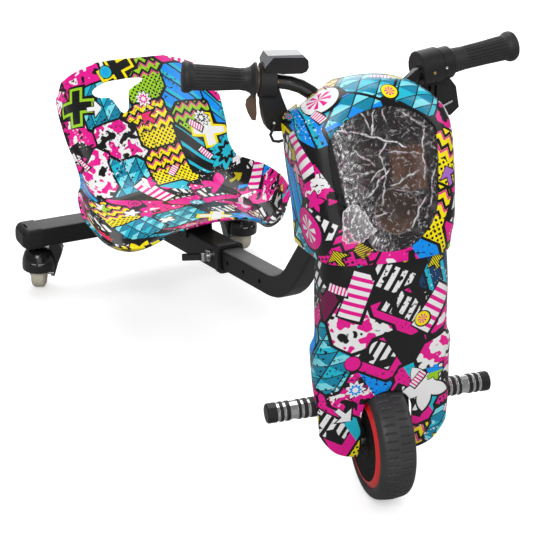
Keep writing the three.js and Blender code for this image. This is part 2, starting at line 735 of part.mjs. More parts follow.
const rake = RAKE_DEGREES * DEGREE;
const pitch = RAIL_PITCH_DEGREES * DEGREE;
const risePitch = RISE_DEGREES * DEGREE;
const axisFoot = new THREE.Vector3(
  0,
  AXIS_OFFSET * Math.cos(rake),
  WHEEL_RADIUS - AXIS_OFFSET * Math.sin(rake),
);
const beadRadius = WHEEL_RADIUS - TYRE_HEIGHT;
const tyreHalf = TYRE_SHARES.map(([rise, width]) => [beadRadius + rise * TYRE_HEIGHT,
  width * TYRE_HALF_WIDTH]);
const tyreProfile = [...tyreHalf.map(([radius, x]) => [radius, -x]), ...tyreHalf.slice(0, -1).reverse()];
const axleTurned = new THREE.Vector3(1, 0, 0).applyAxisAngle(
  new THREE.Vector3(0, Math.sin(rake), Math.cos(rake)),
  REST_TURN_DEGREES * DEGREE,
);
const wheelCentre = new THREE.Vector3(0, -AXIS_OFFSET, 0)
  .applyAxisAngle(UP, REST_TURN_DEGREES * DEGREE)
  .applyAxisAngle(ACROSS, -rake)
  .add(axisFoot);
const lean = Math.hypot(axleTurned.x, axleTurned.y);
const floor = Math.min(...tyreProfile.map(([r, x]) => wheelCentre.z + x * axleTurned.z - r * lean));

const raked = addGroup(trike, axisFoot.toArray());
raked.rotation.x = -rake;
const steering = addGroup(raked);
steering.rotation.z = REST_TURN_DEGREES * DEGREE;
// Inside this group the coordinates are those of the straight steering, with Z upright
const upright = addGroup(steering, axisFoot.clone().applyAxisAngle(ACROSS, rake).negate().toArray());
upright.rotation.x = rake;
const toUpright = new THREE.Matrix4().makeTranslation(axisFoot).multiply(new THREE.Matrix4().makeRotationX(-rake));
// Heights along the steering axis of what stands on the fork
const crownBottom = WHEEL_RADIUS + CROWN_OVER_TYRE;
const crownTop = crownBottom + CROWN_THICKNESS;
const columnTop = crownTop + COLUMN_LENGTH;
const headBottom = columnTop + BEARING_HEIGHT;
const headTop = headBottom + HEAD_LENGTH;
const stemBottom = headTop + BEARING_HEIGHT + SPACER_HEIGHT;
const steererTop = stemBottom + STEERER_IN_STEM;
const clampCentre = stemBottom + STEM_RISE;
// The sleeve's mouth: its height from the casters under the crossbar, its depth from the head tube,
// where the rising tube meets the axis and comes down to the corner of its bend
const underside = HOOD_BOTTOM + HOOD_HEIGHT + HOOD_GAP + PLATE_HEIGHT;
const mouthHeight = underside + CROSSBAR_HALF_HEIGHT + CROSSBAR_DROP + SLEEVE_LENGTH * Math.sin(pitch);
const riseTop = new THREE.Vector3(0, 0, headBottom + RISE_JOIN).applyMatrix4(toUpright);
const cornerHeight = mouthHeight + BEND_AHEAD * Math.sin(pitch);
const riseLength = (riseTop.z - cornerHeight) / Math.sin(risePitch);
const cornerWorld = [riseTop.y + riseLength * Math.cos(risePitch), cornerHeight];
const mouth = [cornerWorld[0] + BEND_AHEAD * Math.cos(pitch), mouthHeight];
const crossbarBack = mouth[0] + SLEEVE_LENGTH * Math.cos(pitch) + CROSSBAR_HALF_DEPTH - CROSSBAR_SINK;
const crossbarSpot = [crossbarBack, underside + CROSSBAR_HALF_HEIGHT];
const rail = addGroup(trike, [0, ...mouth]);
rail.rotation.x = -pitch;

// Front wheel
const bladeOuter = BLADE_INNER + BLADE_THICKNESS;
const axleEnd = bladeOuter + AXLE_STICK_OUT;
const ringOuter = beadRadius + RING_LAP;
const ringFace = HUB_HALF_WIDTH + RING_LIFT;
const coverRadius = ringOuter - RING_WIDTH - RUNNING_GAP;
const coverFoot = HUB_HALF_WIDTH + RUNNING_GAP;
const coverFace = coverFoot + COVER_THICKNESS;
const coverRim = coverRadius - COVER_RIM_WIDTH;
const wheel = addGroup(upright, [0, 0, WHEEL_RADIUS]);
addMesh(wheel, "front_tyre", ring(tyreProfile, "x", WHEEL_SIDES), "#1b1b1d", 0.85, 0);
addMesh(
  wheel,
  "hub_motor",
  pipe(beadRadius - RUNNING_GAP, AXLE_RADIUS + RUNNING_GAP, -HUB_HALF_WIDTH, HUB_HALF_WIDTH, "x",
    WHEEL_SIDES),
  "#2a2b2d", 0.5, 0.6,
);
for (const [side, sign] of [["left", -1], ["right", 1]]) {
  const turnOver = new THREE.Matrix4().makeScale(sign, 1, 1);
  const ringPiece = pipe(ringOuter, ringOuter - RING_WIDTH, ringFace, ringFace + RING_THICKNESS, "x",
    WHEEL_SIDES);
  addMesh(wheel, `rim_ring_${side}`, ringPiece.applyMatrix4(turnOver), "#e0151c", 0.35, 0);
  const cover = ring(
    [
      [COVER_BORE, coverFoot], [coverRadius, coverFoot], [coverRadius, coverFace], [coverRim, coverFace],
      [coverRim - COVER_DISH, coverFace - COVER_DISH], [COVER_BORE, coverFace - COVER_DISH],
    ],
    "x", WHEEL_SIDES,
  );
  addMesh(wheel, `hub_cover_${side}`, cover.applyMatrix4(turnOver), "#151516", 0.45, 0);
  const nut = join(
    rod(NUT_RADIUS, bladeOuter + RUNNING_GAP, bladeOuter + NUT_HEIGHT, "x", 6),
    rod(NUT_RADIUS - NUT_CROWN, bladeOuter + RUNNING_GAP, axleEnd + NUT_CROWN, "x", SOME_SIDES,
      NUT_CROWN / 2),
  );
  const nutPiece = cut(nut, rod(AXLE_RADIUS + RUNNING_GAP, BLADE_INNER, axleEnd + RUNNING_GAP, "x",
    SOME_SIDES));
  nutPiece.translate(0, 0, WHEEL_RADIUS).applyMatrix4(turnOver);
  addMesh(upright, `axle_nut_${side}`, nutPiece, "#c9c3b4", 0.35, 0.8);
}
const shoulder = [[AXLE_RADIUS, BLADE_INNER - RUNNING_GAP], [AXLE_SHOULDER, BLADE_INNER - RUNNING_GAP],
  [AXLE_SHOULDER, coverFoot], [AXLE_RADIUS, coverFoot]];
const axleProfile = [
  [0, -axleEnd], [AXLE_RADIUS, -axleEnd], ...shoulder.map(([radius, x]) => [radius, -x]),
  ...[...shoulder].reverse(), [AXLE_RADIUS, axleEnd], [0, axleEnd],
];
const axlePiece = revolve(axleProfile, "x", SOME_SIDES).translate(0, 0, WHEEL_RADIUS);
addMesh(upright, "wheel_axle", axlePiece, "#b9bcc0", 0.3, 0.9);

// Fork
const pegSpot = [PEG_BACK, WHEEL_RADIUS + PEG_RISE];
const bladeLine = -AXIS_OFFSET;
const dropout = Array.from({ length: 9 }, (_, i) => {
  const angle = Math.PI + (i / 8) * Math.PI;
  return [bladeLine + BLADE_HALF_DEPTH * Math.cos(angle), DROPOUT_RADIUS * Math.sin(angle)];
});
const bladeOutline = [
  ...dropout,
  [bladeLine + BLADE_HALF_DEPTH, crownBottom - BLADE_HALF_DEPTH],
  [COLUMN_RADIUS + WELD_DEPTH, crownTop],
  [bladeLine - BLADE_HALF_DEPTH, crownTop],
];
const crown = box(
  [-bladeOuter, bladeOuter],
  [bladeLine - BLADE_HALF_DEPTH, COLUMN_RADIUS + WELD_DEPTH],
  [crownBottom, crownTop],
);
const column = revolve(
  [[0, crownBottom], [COLUMN_RADIUS, crownBottom], [COLUMN_RADIUS, columnTop], [STEERER_RADIUS, columnTop],
    [STEERER_RADIUS, steererTop], [0, steererTop]],
  "z", MANY_SIDES,
);
const pegAt = new THREE.Vector3(0, ...pegSpot).applyMatrix4(toUpright.clone().invert());
const forkPiece = cut(
  join(
    crown, column,
    prism(bladeOutline, "x", BLADE_INNER, bladeOuter),
    prism(bladeOutline, "x", -bladeOuter, -BLADE_INNER),
  ),
  rod(AXLE_RADIUS + RUNNING_GAP, -axleEnd, axleEnd, "x", SOME_SIDES).translate(0, bladeLine, 0),
  rod(PEG_STUD_RADIUS + RUNNING_GAP, -axleEnd, axleEnd, "x", SOME_SIDES).translate(0, pegAt.y, pegAt.z),
);
addMesh(steering, "fork", forkPiece, "#161617", 0.45, 0.5);
const bearing = (from, to) =>
  ring(
    [[STEERER_RADIUS + RUNNING_GAP, from], [HEAD_RADIUS, from], [HEAD_RADIUS, to],
      [STEERER_RADIUS + RUNNING_GAP, to]],
    "z", MANY_SIDES,
  );
addMesh(raked, "headset_lower", bearing(columnTop + RUNNING_GAP, headBottom - RUNNING_GAP), "#8e9296",
  0.3, 0.9);
addMesh(raked, "headset_upper", bearing(headTop + RUNNING_GAP, stemBottom - RUNNING_GAP), "#8e9296", 0.3,
  0.9);

// Pegs
const pegInner = bladeOuter + PEG_STAND_OFF;
const pegOuter = pegInner + PEG_LENGTH;
const studEnd = BLADE_INNER - PEG_STUD_PAST_BLADE;
const bands = PEG_BAND_SHARES.flatMap(([start, stop]) => [
  [PEG_RADIUS, pegOuter - start * PEG_LENGTH], [PEG_BAND_RADIUS, pegOuter - start * PEG_LENGTH],
  [PEG_BAND_RADIUS, pegOuter - stop * PEG_LENGTH], [PEG_RADIUS, pegOuter - stop * PEG_LENGTH],
]);
const pegProfile = [
  [0, pegOuter], [PEG_RADIUS - PEG_CHAMFER, pegOuter], [PEG_RADIUS, pegOuter - PEG_CHAMFER], ...bands,
  [PEG_RADIUS, pegInner + PEG_CHAMFER], [PEG_RADIUS - PEG_CHAMFER, pegInner], [PEG_NECK_RADIUS, pegInner],
  [PEG_NECK_RADIUS, bladeOuter + RUNNING_GAP], [PEG_STUD_RADIUS, bladeOuter + RUNNING_GAP],
  [PEG_STUD_RADIUS, studEnd], [0, studEnd],
];
const [wideStart, wideStop] = PEG_BAND_SHARES[2];
for (const [side, sign] of [["left", -1], ["right", 1]]) {
  const drill = rod(PEG_HOLE_RADIUS, PEG_RADIUS / 2, PEG_RADIUS * 2, "z", FEW_SIDES);
  drill.rotateX(PEG_HOLE_DEGREES * DEGREE).translate(pegOuter - ((wideStart + wideStop) / 2) * PEG_LENGTH,
    0, 0);
  const peg = cut(revolve(pegProfile, "x", SOME_SIDES), drill);
  peg.translate(0, ...pegSpot).applyMatrix4(new THREE.Matrix4().makeScale(sign, 1, 1));
  addMesh(upright, `peg_${side}`, peg, "#2b2b2d", 0.4, 0.7);
}

// Handlebar, stem and grips
const barMiddle = new THREE.Vector3(0, 0, clampCentre).applyMatrix4(toUpright);
const gripStart = new THREE.Vector3(GRIP_ACROSS, GRIP_BACK, GRIP_HEIGHT);
const gripSweep = GRIP_SWEEP_DEGREES * DEGREE;
const gripRise = GRIP_RISE_DEGREES * DEGREE;
const gripLine = new THREE.Vector3(
  Math.cos(gripRise) * Math.cos(gripSweep), Math.cos(gripRise) * Math.sin(gripSweep), Math.sin(gripRise),
);
const gripCavity = GRIP_LENGTH - GRIP_END_WALL;
const barTip = gripCavity - BAR_END_GAP;
const barBends = BAR_SHARES.map(([across, back, rise]) => [
  gripStart.x * across,
  barMiddle.y + (gripStart.y - barMiddle.y) * back,
  barMiddle.z + (gripStart.z - barMiddle.z) * rise,
]);
// One half from the middle of the bar to its tip, which can be carried on past its real end
function halfBar(extra) {
  const outer = [0, barTip / 2, barTip + extra].map((along) => gripStart.clone().addScaledVector(gripLine,
    along).toArray());
  const straight = [CLAMP_HALF_LENGTH + WELD_DEPTH, barMiddle.y, barMiddle.z];
  return [straight, ...barBends, ...outer];
}
function barCurve(radius, sides, extra = 0) {
  const half = halfBar(extra);
  return pipeAlong([...half.map(([x, y, z]) => [-x, y, z]).reverse(), ...half], radius, sides);
}
const barPiece = cut(barCurve(BAR_RADIUS, FEW_SIDES + 2), barCurve(BAR_BORE, FEW_SIDES, WELD_DEPTH));
addMesh(upright, "handlebar", barPiece, "#19191a", 0.4, 0.6);
const clampBlock = (from, to) => box([-CLAMP_HALF_LENGTH, CLAMP_HALF_LENGTH],
  [-CLAMP_HALF_DEPTH, CLAMP_HALF_DEPTH], [from, to]);
const barBore = rod(BAR_RADIUS + RUNNING_GAP, -CLAMP_HALF_LENGTH * 2, CLAMP_HALF_LENGTH * 2, "x",
  MANY_SIDES);
barBore.translate(0, 0, clampCentre);
const stemPiece = cut(
  join(
    rod(STEM_RADIUS, stemBottom, clampCentre - BAR_RADIUS, "z", MANY_SIDES),
    clampBlock(clampCentre - CLAMP_HALF_HEIGHT, clampCentre - RUNNING_GAP),
  ),
  rod(STEERER_RADIUS + RUNNING_GAP, stemBottom - WELD_DEPTH, steererTop + RUNNING_GAP, "z", MANY_SIDES),
  barBore,
);
addMesh(steering, "stem", stemPiece, "#1d1d1f", 0.4, 0.6);
const capScrews = [[-1, -1], [1, -1], [1, 1], [-1, 1]].map(([sx, sy]) =>
  rod(
    SCREW_HEAD_RADIUS,
    clampCentre + CLAMP_HALF_HEIGHT - WELD_DEPTH,
    clampCentre + CLAMP_HALF_HEIGHT + SCREW_HEAD_HEIGHT,
    "z", FEW_SIDES,
  ).translate(sx * (CLAMP_HALF_LENGTH - SCREW_INSET), sy * (CLAMP_HALF_DEPTH - SCREW_HEAD_RADIUS), 0),
);
const capPiece = cut(
  join(clampBlock(clampCentre + RUNNING_GAP, clampCentre + CLAMP_HALF_HEIGHT), ...capScrews),
  barBore,
);
addMesh(steering, "stem_cap", capPiece, "#1d1d1f", 0.4, 0.6);

// The frame whose X runs out along the grip on one side
function gripFrame(sign) {
  const out = gripLine.clone().setX(gripLine.x * sign);
  const across = new THREE.Vector3().crossVectors(UP, out).normalize();
  const matrix = new THREE.Matrix4().makeBasis(out, across, new THREE.Vector3().crossVectors(out, across));
  return matrix.setPosition(gripStart.x * sign, gripStart.y, gripStart.z);
}
const gripProfile = sized(GRIP_SHARES, [GRIP_LENGTH, GRIP_RADIUS]);
const flareProfile = sized(FLARE_SHARES, [FLARE_LENGTH, FLARE_RADIUS - FLARE_FOOT_RADIUS],
  [FLARE_START, FLARE_FOOT_RADIUS]);
const gripOf = (head) =>
  ring(
    [
      [BAR_RADIUS + RUNNING_GAP, head[0][0]], ...head.map(([along, radius]) => [radius, along]),
      ...gripProfile.filter(([along]) => along > head[head.length - 1][0]).map(([along,
        radius]) => [radius, along]),
      [gripProfile[gripProfile.length - 1][1] / 2, GRIP_LENGTH], [BAR_BORE / 2, GRIP_LENGTH],
      [BAR_BORE / 2, gripCavity], [BAR_RADIUS + RUNNING_GAP, gripCavity],
    ],
    "x", MANY_SIDES,
  );
addMesh(upright, "grip_left", gripOf(flareProfile).applyMatrix4(gripFrame(-1)), "#202022", 0.75, 0);
addMesh(upright, "grip_right", gripOf(gripProfile.slice(0, 3)).applyMatrix4(gripFrame(1)), "#202022",
  0.75, 0);

// Throttle with its gauge, thumb lever and cable
const aroundGrip = (front, back) => [gripStart.y - front, gripStart.y + back];
const barClearance = barCurve(BAR_RADIUS + RUNNING_GAP * 2, FEW_SIDES + 2);
const throttleSpot = [-gripStart.x, gripStart.z];
const throttleRing = rod(
  THROTTLE_RADIUS, -THROTTLE_SET_BACK - THROTTLE_LENGTH, -THROTTLE_SET_BACK, "x", MANY_SIDES, WELD_DEPTH / 2,
).applyMatrix4(gripFrame(-1));
const lobe = prism(sized(LOBE_SHARES, [LOBE_WIDTH, -LOBE_DROP], throttleSpot), "y",
  ...aroundGrip(LOBE_FRONT, LOBE_BACK));
const gaugeOutline = sized(GAUGE_SHARES, [GAUGE_WIDTH, GAUGE_RISE], throttleSpot);
const gauge = prism(gaugeOutline, "y", ...aroundGrip(GAUGE_FRONT, GAUGE_BACK));
addMesh(upright, "throttle_housing", cut(join(throttleRing, lobe, gauge), barClearance), "#1c1c1e", 0.45,
  0);
const windowDepth = aroundGrip(GAUGE_FRONT + WINDOW_OVERHANG, GAUGE_BACK + WINDOW_OVERHANG);
const windowPiece = cut(
  prism(sized(WINDOW_SHARES, [GAUGE_WIDTH, GAUGE_RISE], throttleSpot), "y", ...windowDepth),
  throttleRing, prism(grown(gaugeOutline, RUNNING_GAP), "y", ...windowDepth),
);
addMesh(upright, "gauge_window", windowPiece, "#b9bcc2", 0.15, 0);
const paddle = join(
  rod(PADDLE_RING_RADIUS, -THROTTLE_SET_BACK + RUNNING_GAP, FLARE_START - RUNNING_GAP, "x", MANY_SIDES),
  prism(sized(PADDLE_SHARES, [PADDLE_WIDTH, PADDLE_LENGTH]), "y", -PADDLE_FRONT,
    PADDLE_THICKNESS - PADDLE_FRONT),
).applyMatrix4(gripFrame(-1));
addMesh(upright, "thumb_lever", cut(paddle, barClearance), "#8a6a4a", 0.25, 0);
addMesh(upright, "control_cable", pipeAlong(CABLE_ROUTE, CABLE_RADIUS, FEW_SIDES), "#141415", 0.5, 0);

// Switch ring and brake on the other side
const brakeInner = -BRAKE_SET_BACK - BRAKE_RING_LENGTH;
const switchOuter = brakeInner - RUNNING_GAP * 2;
const switchInner = switchOuter - SWITCH_LENGTH;
const switchPiece = cut(
  rod(SWITCH_RADIUS, switchInner, switchOuter, "x", MANY_SIDES,
    WELD_DEPTH).applyMatrix4(gripFrame(1)), barClearance,
);
addMesh(upright, "switch_ring", switchPiece, "#1b1b1c", 0.45, 0);
const brakeSpot = [gripStart.x, gripStart.z];
const [brakeFront, brakeBack] = aroundGrip(BRAKE_FRONT, BRAKE_BACK);
const brakeRing = rod(BRAKE_RING_RADIUS, brakeInner, -BRAKE_SET_BACK, "x", MANY_SIDES,
  WELD_DEPTH / 2).applyMatrix4(gripFrame(1));
const switchClearance = rod(
  SWITCH_RADIUS + RUNNING_GAP, switchInner - RUNNING_GAP, switchOuter + RUNNING_GAP, "x", MANY_SIDES,
).applyMatrix4(gripFrame(1));
const grooves = BRAKE_GROOVE_SHARES.map(([x0, x1, top, bottom]) =>
  box(
    [brakeSpot[0] + x0 * BRAKE_WIDTH, brakeSpot[0] + x1 * BRAKE_WIDTH],
    [brakeFront - WELD_DEPTH, brakeFront + BRAKE_GROOVE_DEPTH],
    [brakeSpot[1] - bottom * BRAKE_DROP, brakeSpot[1] - top * BRAKE_DROP],
  ),
);
const leverPivot = [gripStart.x - LEVER_PIVOT_IN, gripStart.y + LEVER_PIVOT_BACK,
  gripStart.z - LEVER_PIVOT_DROP];
const slotHalfWidth = LEVER_HUB + LEVER_SWING_ROOM;
const slotHalfHeight = LEVER_THICKNESS / 2 + LEVER_SIDE_ROOM;
const leverSlot = box([-slotHalfWidth, slotHalfWidth], [-LEVER_HUB, LEVER_HUB * 2],
  [-slotHalfHeight, slotHalfHeight]);
const leverPin = rod(LEVER_PIN_RADIUS - RUNNING_GAP, -slotHalfHeight - WELD_DEPTH,
  slotHalfHeight + WELD_DEPTH, "z", SOME_SIDES);
const brakeOutline = sized(BRAKE_SHARES, [BRAKE_WIDTH, -BRAKE_DROP], brakeSpot);
const brakeBody = prism(brakeOutline, "y", brakeFront, brakeBack);
const brakeRoom = prism(
  grown(brakeOutline, RUNNING_GAP * 2), "y", brakeFront - RUNNING_GAP * 2, brakeBack + RUNNING_GAP * 2,
);
const brakePiece = join(
  cut(join(brakeRing, brakeBody), barClearance, switchClearance, ...grooves,
    leverSlot.translate(...leverPivot)),
  leverPin.translate(...leverPivot),
);
addMesh(upright, "brake_clamp", brakePiece, "#1b1b1c", 0.45, 0);
const rodEnds = ROD_SHARES.map(([across, drop]) => [
  brakeSpot[0] + across * BRAKE_WIDTH, brakeFront - ROD_RADIUS - RUNNING_GAP, brakeSpot[1] - drop * BRAKE_DROP,
]);
addMesh(upright, "brake_rod", pipeAlong(rodEnds, ROD_RADIUS, FEW_SIDES), "#9a9da1", 0.3, 0.9);
const leverHub = prism(sized(LEVER_HUB_SHARES, [LEVER_HUB, LEVER_HUB]), "z", -LEVER_THICKNESS / 2,
  LEVER_THICKNESS / 2);
const leverArm = prism(
  centred(roundedOutline(LEVER_ARM_WIDTH / 2, LEVER_ARM_LENGTH / 2, LEVER_ARM_WIDTH / 3, 3),
    [0, LEVER_ARM_LENGTH / 2]),
  "z", -LEVER_THICKNESS / 2, LEVER_THICKNESS / 2,
);
const brakeLever = cut(join(leverHub, leverArm),
  rod(LEVER_PIN_RADIUS, -LEVER_THICKNESS, LEVER_THICKNESS, "z", SOME_SIDES));
addMesh(addGroup(upright, leverPivot), "brake_lever", brakeLever, "#1d1d1f", 0.4, 0.6);

// Fairing
const halfShares = [0, 1 / 8, 1 / 4, 3 / 8, 1 / 2, 9 / 16, 5 / 8, 11 / 16, 3 / 4, 1];
const bothShares = [...halfShares.slice(1).map((share) => -share).reverse(), ...halfShares];
// A station table from its shares: widths, depths and heights of the shell it belongs to
function stationsFrom(shares, [width, length, rise], [front, bottom]) {
  const depth = (share) => front + share * length;
  const height = (share) => bottom + share * rise;
  return shares.map(([y, z, kneeX, kneeY, kneeZ, edgeX, edgeY, edgeZ]) => [
    [depth(y), height(z)],
    [kneeX * width, depth(kneeY), height(kneeZ)],
    [edgeX * width, depth(edgeY), height(edgeZ)],
  ]);
}
const upperBottom = barMiddle.z + SHELL_OVER_BAR - UPPER_RISE;
const lowerBottom = upperBottom + SHELL_LAP - LOWER_RISE;
const upperSurface = ribSurface(
  stationsFrom(UPPER_SHARES, [SHELL_HALF_WIDTH, SHELL_LENGTH, UPPER_RISE],
    [-SHELL_FRONT, upperBottom]), SHELL_CORNER,
);
const lowerSurface = ribSurface(
  stationsFrom(LOWER_SHARES, [SHELL_HALF_WIDTH, SHELL_LENGTH, LOWER_RISE],
    [-SHELL_FRONT, lowerBottom]), SHELL_CORNER,
);
const everyStation = (surface) => Array.from({ length: surface.last + 1 }, (_, i) => i);
const upperPlaces = [...everyStation(upperSurface), 15 / 2, 17 / 2, 19 / 2].sort((a, b) => a - b);
const upperShell = (skin) => patchShell(upperSurface, upperPlaces, bothShares, skin);
const lowerShell = (skin) => patchShell(lowerSurface, everyStation(lowerSurface), bothShares, skin);
// The lens and the tray only fill the flat of the front, so they take fewer points across
const flatShares = [-5 / 8, -1 / 2, -1 / 4, 0, 1 / 4, 1 / 2, 5 / 8];
const frontShell = (skin) => patchShell(upperSurface, everyStation(upperSurface).slice(0, -2), flatShares,
  skin);
const lensOutline = mirrored(sized(LENS_SHARES, [SHELL_HALF_WIDTH, UPPER_RISE], [0, upperBottom]));
const notchOutline = beside(barBends.slice(1).map(([x, , z]) => [x, z]), NOTCH_ABOVE, NOTCH_BELOW);
const notches = [notchOutline, notchOutline.map(([x, z]) => [-x, z]).reverse()].map((outline) =>
  prism(outline, "y", barMiddle.y - NOTCH_AHEAD, barMiddle.y + SHELL_REACH * 2),
);
addMesh(
  upright, "fairing_upper",
  cut(upperShell([0, SHELL_WALL]), prism(lensOutline, "y", -SHELL_REACH, SHELL_REACH), ...notches,
    brakeRoom),
  "#f0309a", 0.2, 0,
);
const archFoot = lowerBottom - SHELL_REACH;
const archRoundFoot = WHEEL_RADIUS * 2 + ARCH_OVER_TYRE - ARCH_ROUND;
const archHalf = [[ARCH_HALF_WIDTH, archFoot],
  ...sized(ARCH_SHARES, [ARCH_HALF_WIDTH, ARCH_ROUND], [0, archRoundFoot])];
const skirtSide = SHELL_HALF_WIDTH + SHELL_REACH;
const skirtCut = [
  [skirtSide, lowerBottom + SKIRT_RISE], ...sized(SKIRT_SHARES, [SHELL_HALF_WIDTH, SKIRT_RISE],
    [0, lowerBottom]),
  [ARCH_HALF_WIDTH, archFoot], [skirtSide, archFoot],
];
const pegRoom = [1, -1].map((sign) =>
  rod(PEG_BAND_RADIUS + RUNNING_GAP * 2, bladeOuter, pegOuter, "x", SOME_SIDES)
    .applyMatrix4(new THREE.Matrix4().makeScale(sign, 1, 1))
    .translate(0, ...pegSpot),
);
const lowerCuts = [mirrored(archHalf), skirtCut, skirtCut.map(([x, z]) => [-x, z]).reverse()];
addMesh(
  upright, "fairing_lower",
  cut(
    lowerShell([0, SHELL_WALL]), ...pegRoom,
    ...lowerCuts.map((outline) => prism(outline, "y", -SHELL_REACH, SHELL_REACH)),
  ),
  "#f0309a", 0.2, 0,
);
const lensFront = SHELL_WALL + RUNNING_GAP;
const lensBack = lensFront + LENS_THICKNESS;
const lensWide = prism(grown(lensOutline, LENS_OVERLAP), "y", -SHELL_REACH, SHELL_REACH);
addMesh(upright, "lens", common(frontShell([lensFront, lensBack]), lensWide), "#3a2a24", 0.08, 0);
const trayInside = prism(grown(lensOutline, LENS_OVERLAP - TRAY_WALL), "y", -SHELL_REACH, SHELL_REACH);
addMesh(
  upright, "lamp_tray",
  cut(
    common(frontShell([lensBack + RUNNING_GAP, TRAY_DEPTH]), lensWide),
    common(frontShell([0, TRAY_DEPTH - TRAY_WALL]), trayInside),
  ),
  "#1a1614", 0.6, 0,
);

// The lamp tray hangs on a flat bar from the stem
const stemRoom = box(
  [-CLAMP_HALF_LENGTH * 2, CLAMP_HALF_LENGTH * 2],
  [-CLAMP_HALF_DEPTH - RUNNING_GAP, CLAMP_HALF_DEPTH * 3],
  [stemBottom, clampCentre + CLAMP_HALF_HEIGHT],
).applyMatrix4(toUpright);
const lampBarTop = barMiddle.z - LAMP_BAR_DROP;
const lampBar = cut(
  box([-LAMP_BAR_HALF, LAMP_BAR_HALF], [0, barMiddle.y], [lampBarTop - LAMP_BAR_THICKNESS, lampBarTop]),
  stemRoom,
  frontShell([-SHELL_WALL * 6, TRAY_DEPTH + RUNNING_GAP]),
);
addMesh(upright, "lamp_bracket", lampBar, "#202122", 0.5, 0.5);

// Battery and bracket
const batteryOutline = centred(
  roundedOutline(BATTERY.halfWidth, (BATTERY.back - BATTERY.front) / 2, BATTERY.edge, 3),
  [0, (BATTERY.back + BATTERY.front) / 2],
);
const batteryHeight = [WHEEL_RADIUS * 2 + BATTERY.overTyre, upperBottom - BATTERY.underShell];
addMesh(upright, "battery_pack", prism(batteryOutline, "z", ...batteryHeight), "#24262b", 0.6, 0);
const plateFront = BATTERY.back + RUNNING_GAP;
const plateBack = plateFront + BRACKET.plate;
const bracketBase = lowerBottom + BRACKET_FOOT_SHARE * LOWER_RISE;
const bracketHeight = [bracketBase, bracketBase + BRACKET.height];
const bracketReach = SHELL_HALF_WIDTH - BRACKET.inset;
const tabSkin = [SHELL_WALL + RUNNING_GAP, SHELL_WALL + RUNNING_GAP + BRACKET.tab];
const tabRoom = [1, -1].map((sign) =>
  box([bracketReach, bracketReach * 2].map((x) => x * sign).sort((a, b) => a - b),
    [BATTERY.front / 2, plateBack], bracketHeight),
);
const columnTool = rod(COLUMN_RADIUS + RUNNING_GAP, crownBottom, columnTop, "z",
  MANY_SIDES).applyMatrix4(toUpright);
const bracketPiece = cut(
  join(
    common(lowerShell(tabSkin), join(...tabRoom)),
    box([-SHELL_HALF_WIDTH, SHELL_HALF_WIDTH], [plateFront, plateBack], bracketHeight),
    box([-BRACKET.halfClamp, BRACKET.halfClamp], [plateFront, plateFront + BRACKET.clampDepth],
      bracketHeight),
  ),
  columnTool,
  lowerShell([-SHELL_CORNER, tabSkin[0]]),
);
addMesh(upright, "fairing_bracket", bracketPiece, "#202122", 0.5, 0.5);

// Main frame
const bendTurn = risePitch - pitch;
const tangentLength = BEND_RADIUS * Math.tan(bendTurn / 2);
const bendStart = tangentLength - BEND_AHEAD;
function tubeStations(extra) {
  const stations = [[TUBE_INSERT + extra, 0, 0], [bendStart, 0, 0]];
  for (let i = 1; i < BEND_STEPS; i += 1) {
    const angle = (bendTurn * i) / BEND_STEPS;
    stations.push([bendStart - BEND_RADIUS * Math.sin(angle), BEND_RADIUS * (1 - Math.cos(angle)), angle]);
  }
  for (const reach of [tangentLength, riseLength]) {
    stations.push([-BEND_AHEAD - reach * Math.cos(bendTurn), reach * Math.sin(bendTurn), bendTurn]);
  }
  return stations;
}
function squareTube(half, radius, steps, extra) {
  return loft(
    tubeStations(extra).map(([y, z, angle]) =>
      roundedOutline(half, half, radius, steps).map(([u, v]) =>
        new THREE.Vector3(u, y + v * Math.sin(angle), z + v * Math.cos(angle)),
      ),
    ),
  );
}
const toRail = new THREE.Matrix4().makeTranslation(0,
  ...mouth).multiply(new THREE.Matrix4().makeRotationX(-pitch));
const holes = Array.from({ length: HOLE_COUNT }, (_, i) =>
  rod(HOLE_RADIUS, -TUBE_HALF - WELD_DEPTH, TUBE_HALF + WELD_DEPTH, "x", FEW_SIDES)
    .translate(0, HOLE_START + i * HOLE_PITCH, 0)
    .applyMatrix4(toRail),
);
const headTube = rod(HEAD_RADIUS, headBottom, headTop, "z", MANY_SIDES).applyMatrix4(toUpright);
const headBore = rod(HEAD_BORE, headBottom - WELD_DEPTH, headTop + WELD_DEPTH, "z",
  MANY_SIDES).applyMatrix4(toUpright);
const framePiece = cut(
  join(
    cut(
      squareTube(TUBE_HALF, TUBE_CORNER, 2, 0).applyMatrix4(toRail),
      squareTube(TUBE_HALF - TUBE_WALL, TUBE_CORNER - TUBE_WALL, 1, WELD_DEPTH).applyMatrix4(toRail),
    ),
    headTube,
  ),
  headBore,
  ...holes,
);
addMesh(trike, "main_frame", framePiece, "#141415", 0.45, 0.4);

// Rear carriage
const fromRail = toRail.clone().invert();
const sleeveBore = TUBE_HALF + SLIDE_GAP;
const sleeveHalf = sleeveBore + SLEEVE_WALL;
const casterAcross = CROSSBAR_HALF_LENGTH - CASTER_INSET;
const casterBack = crossbarBack + CASTER_SET_BACK;
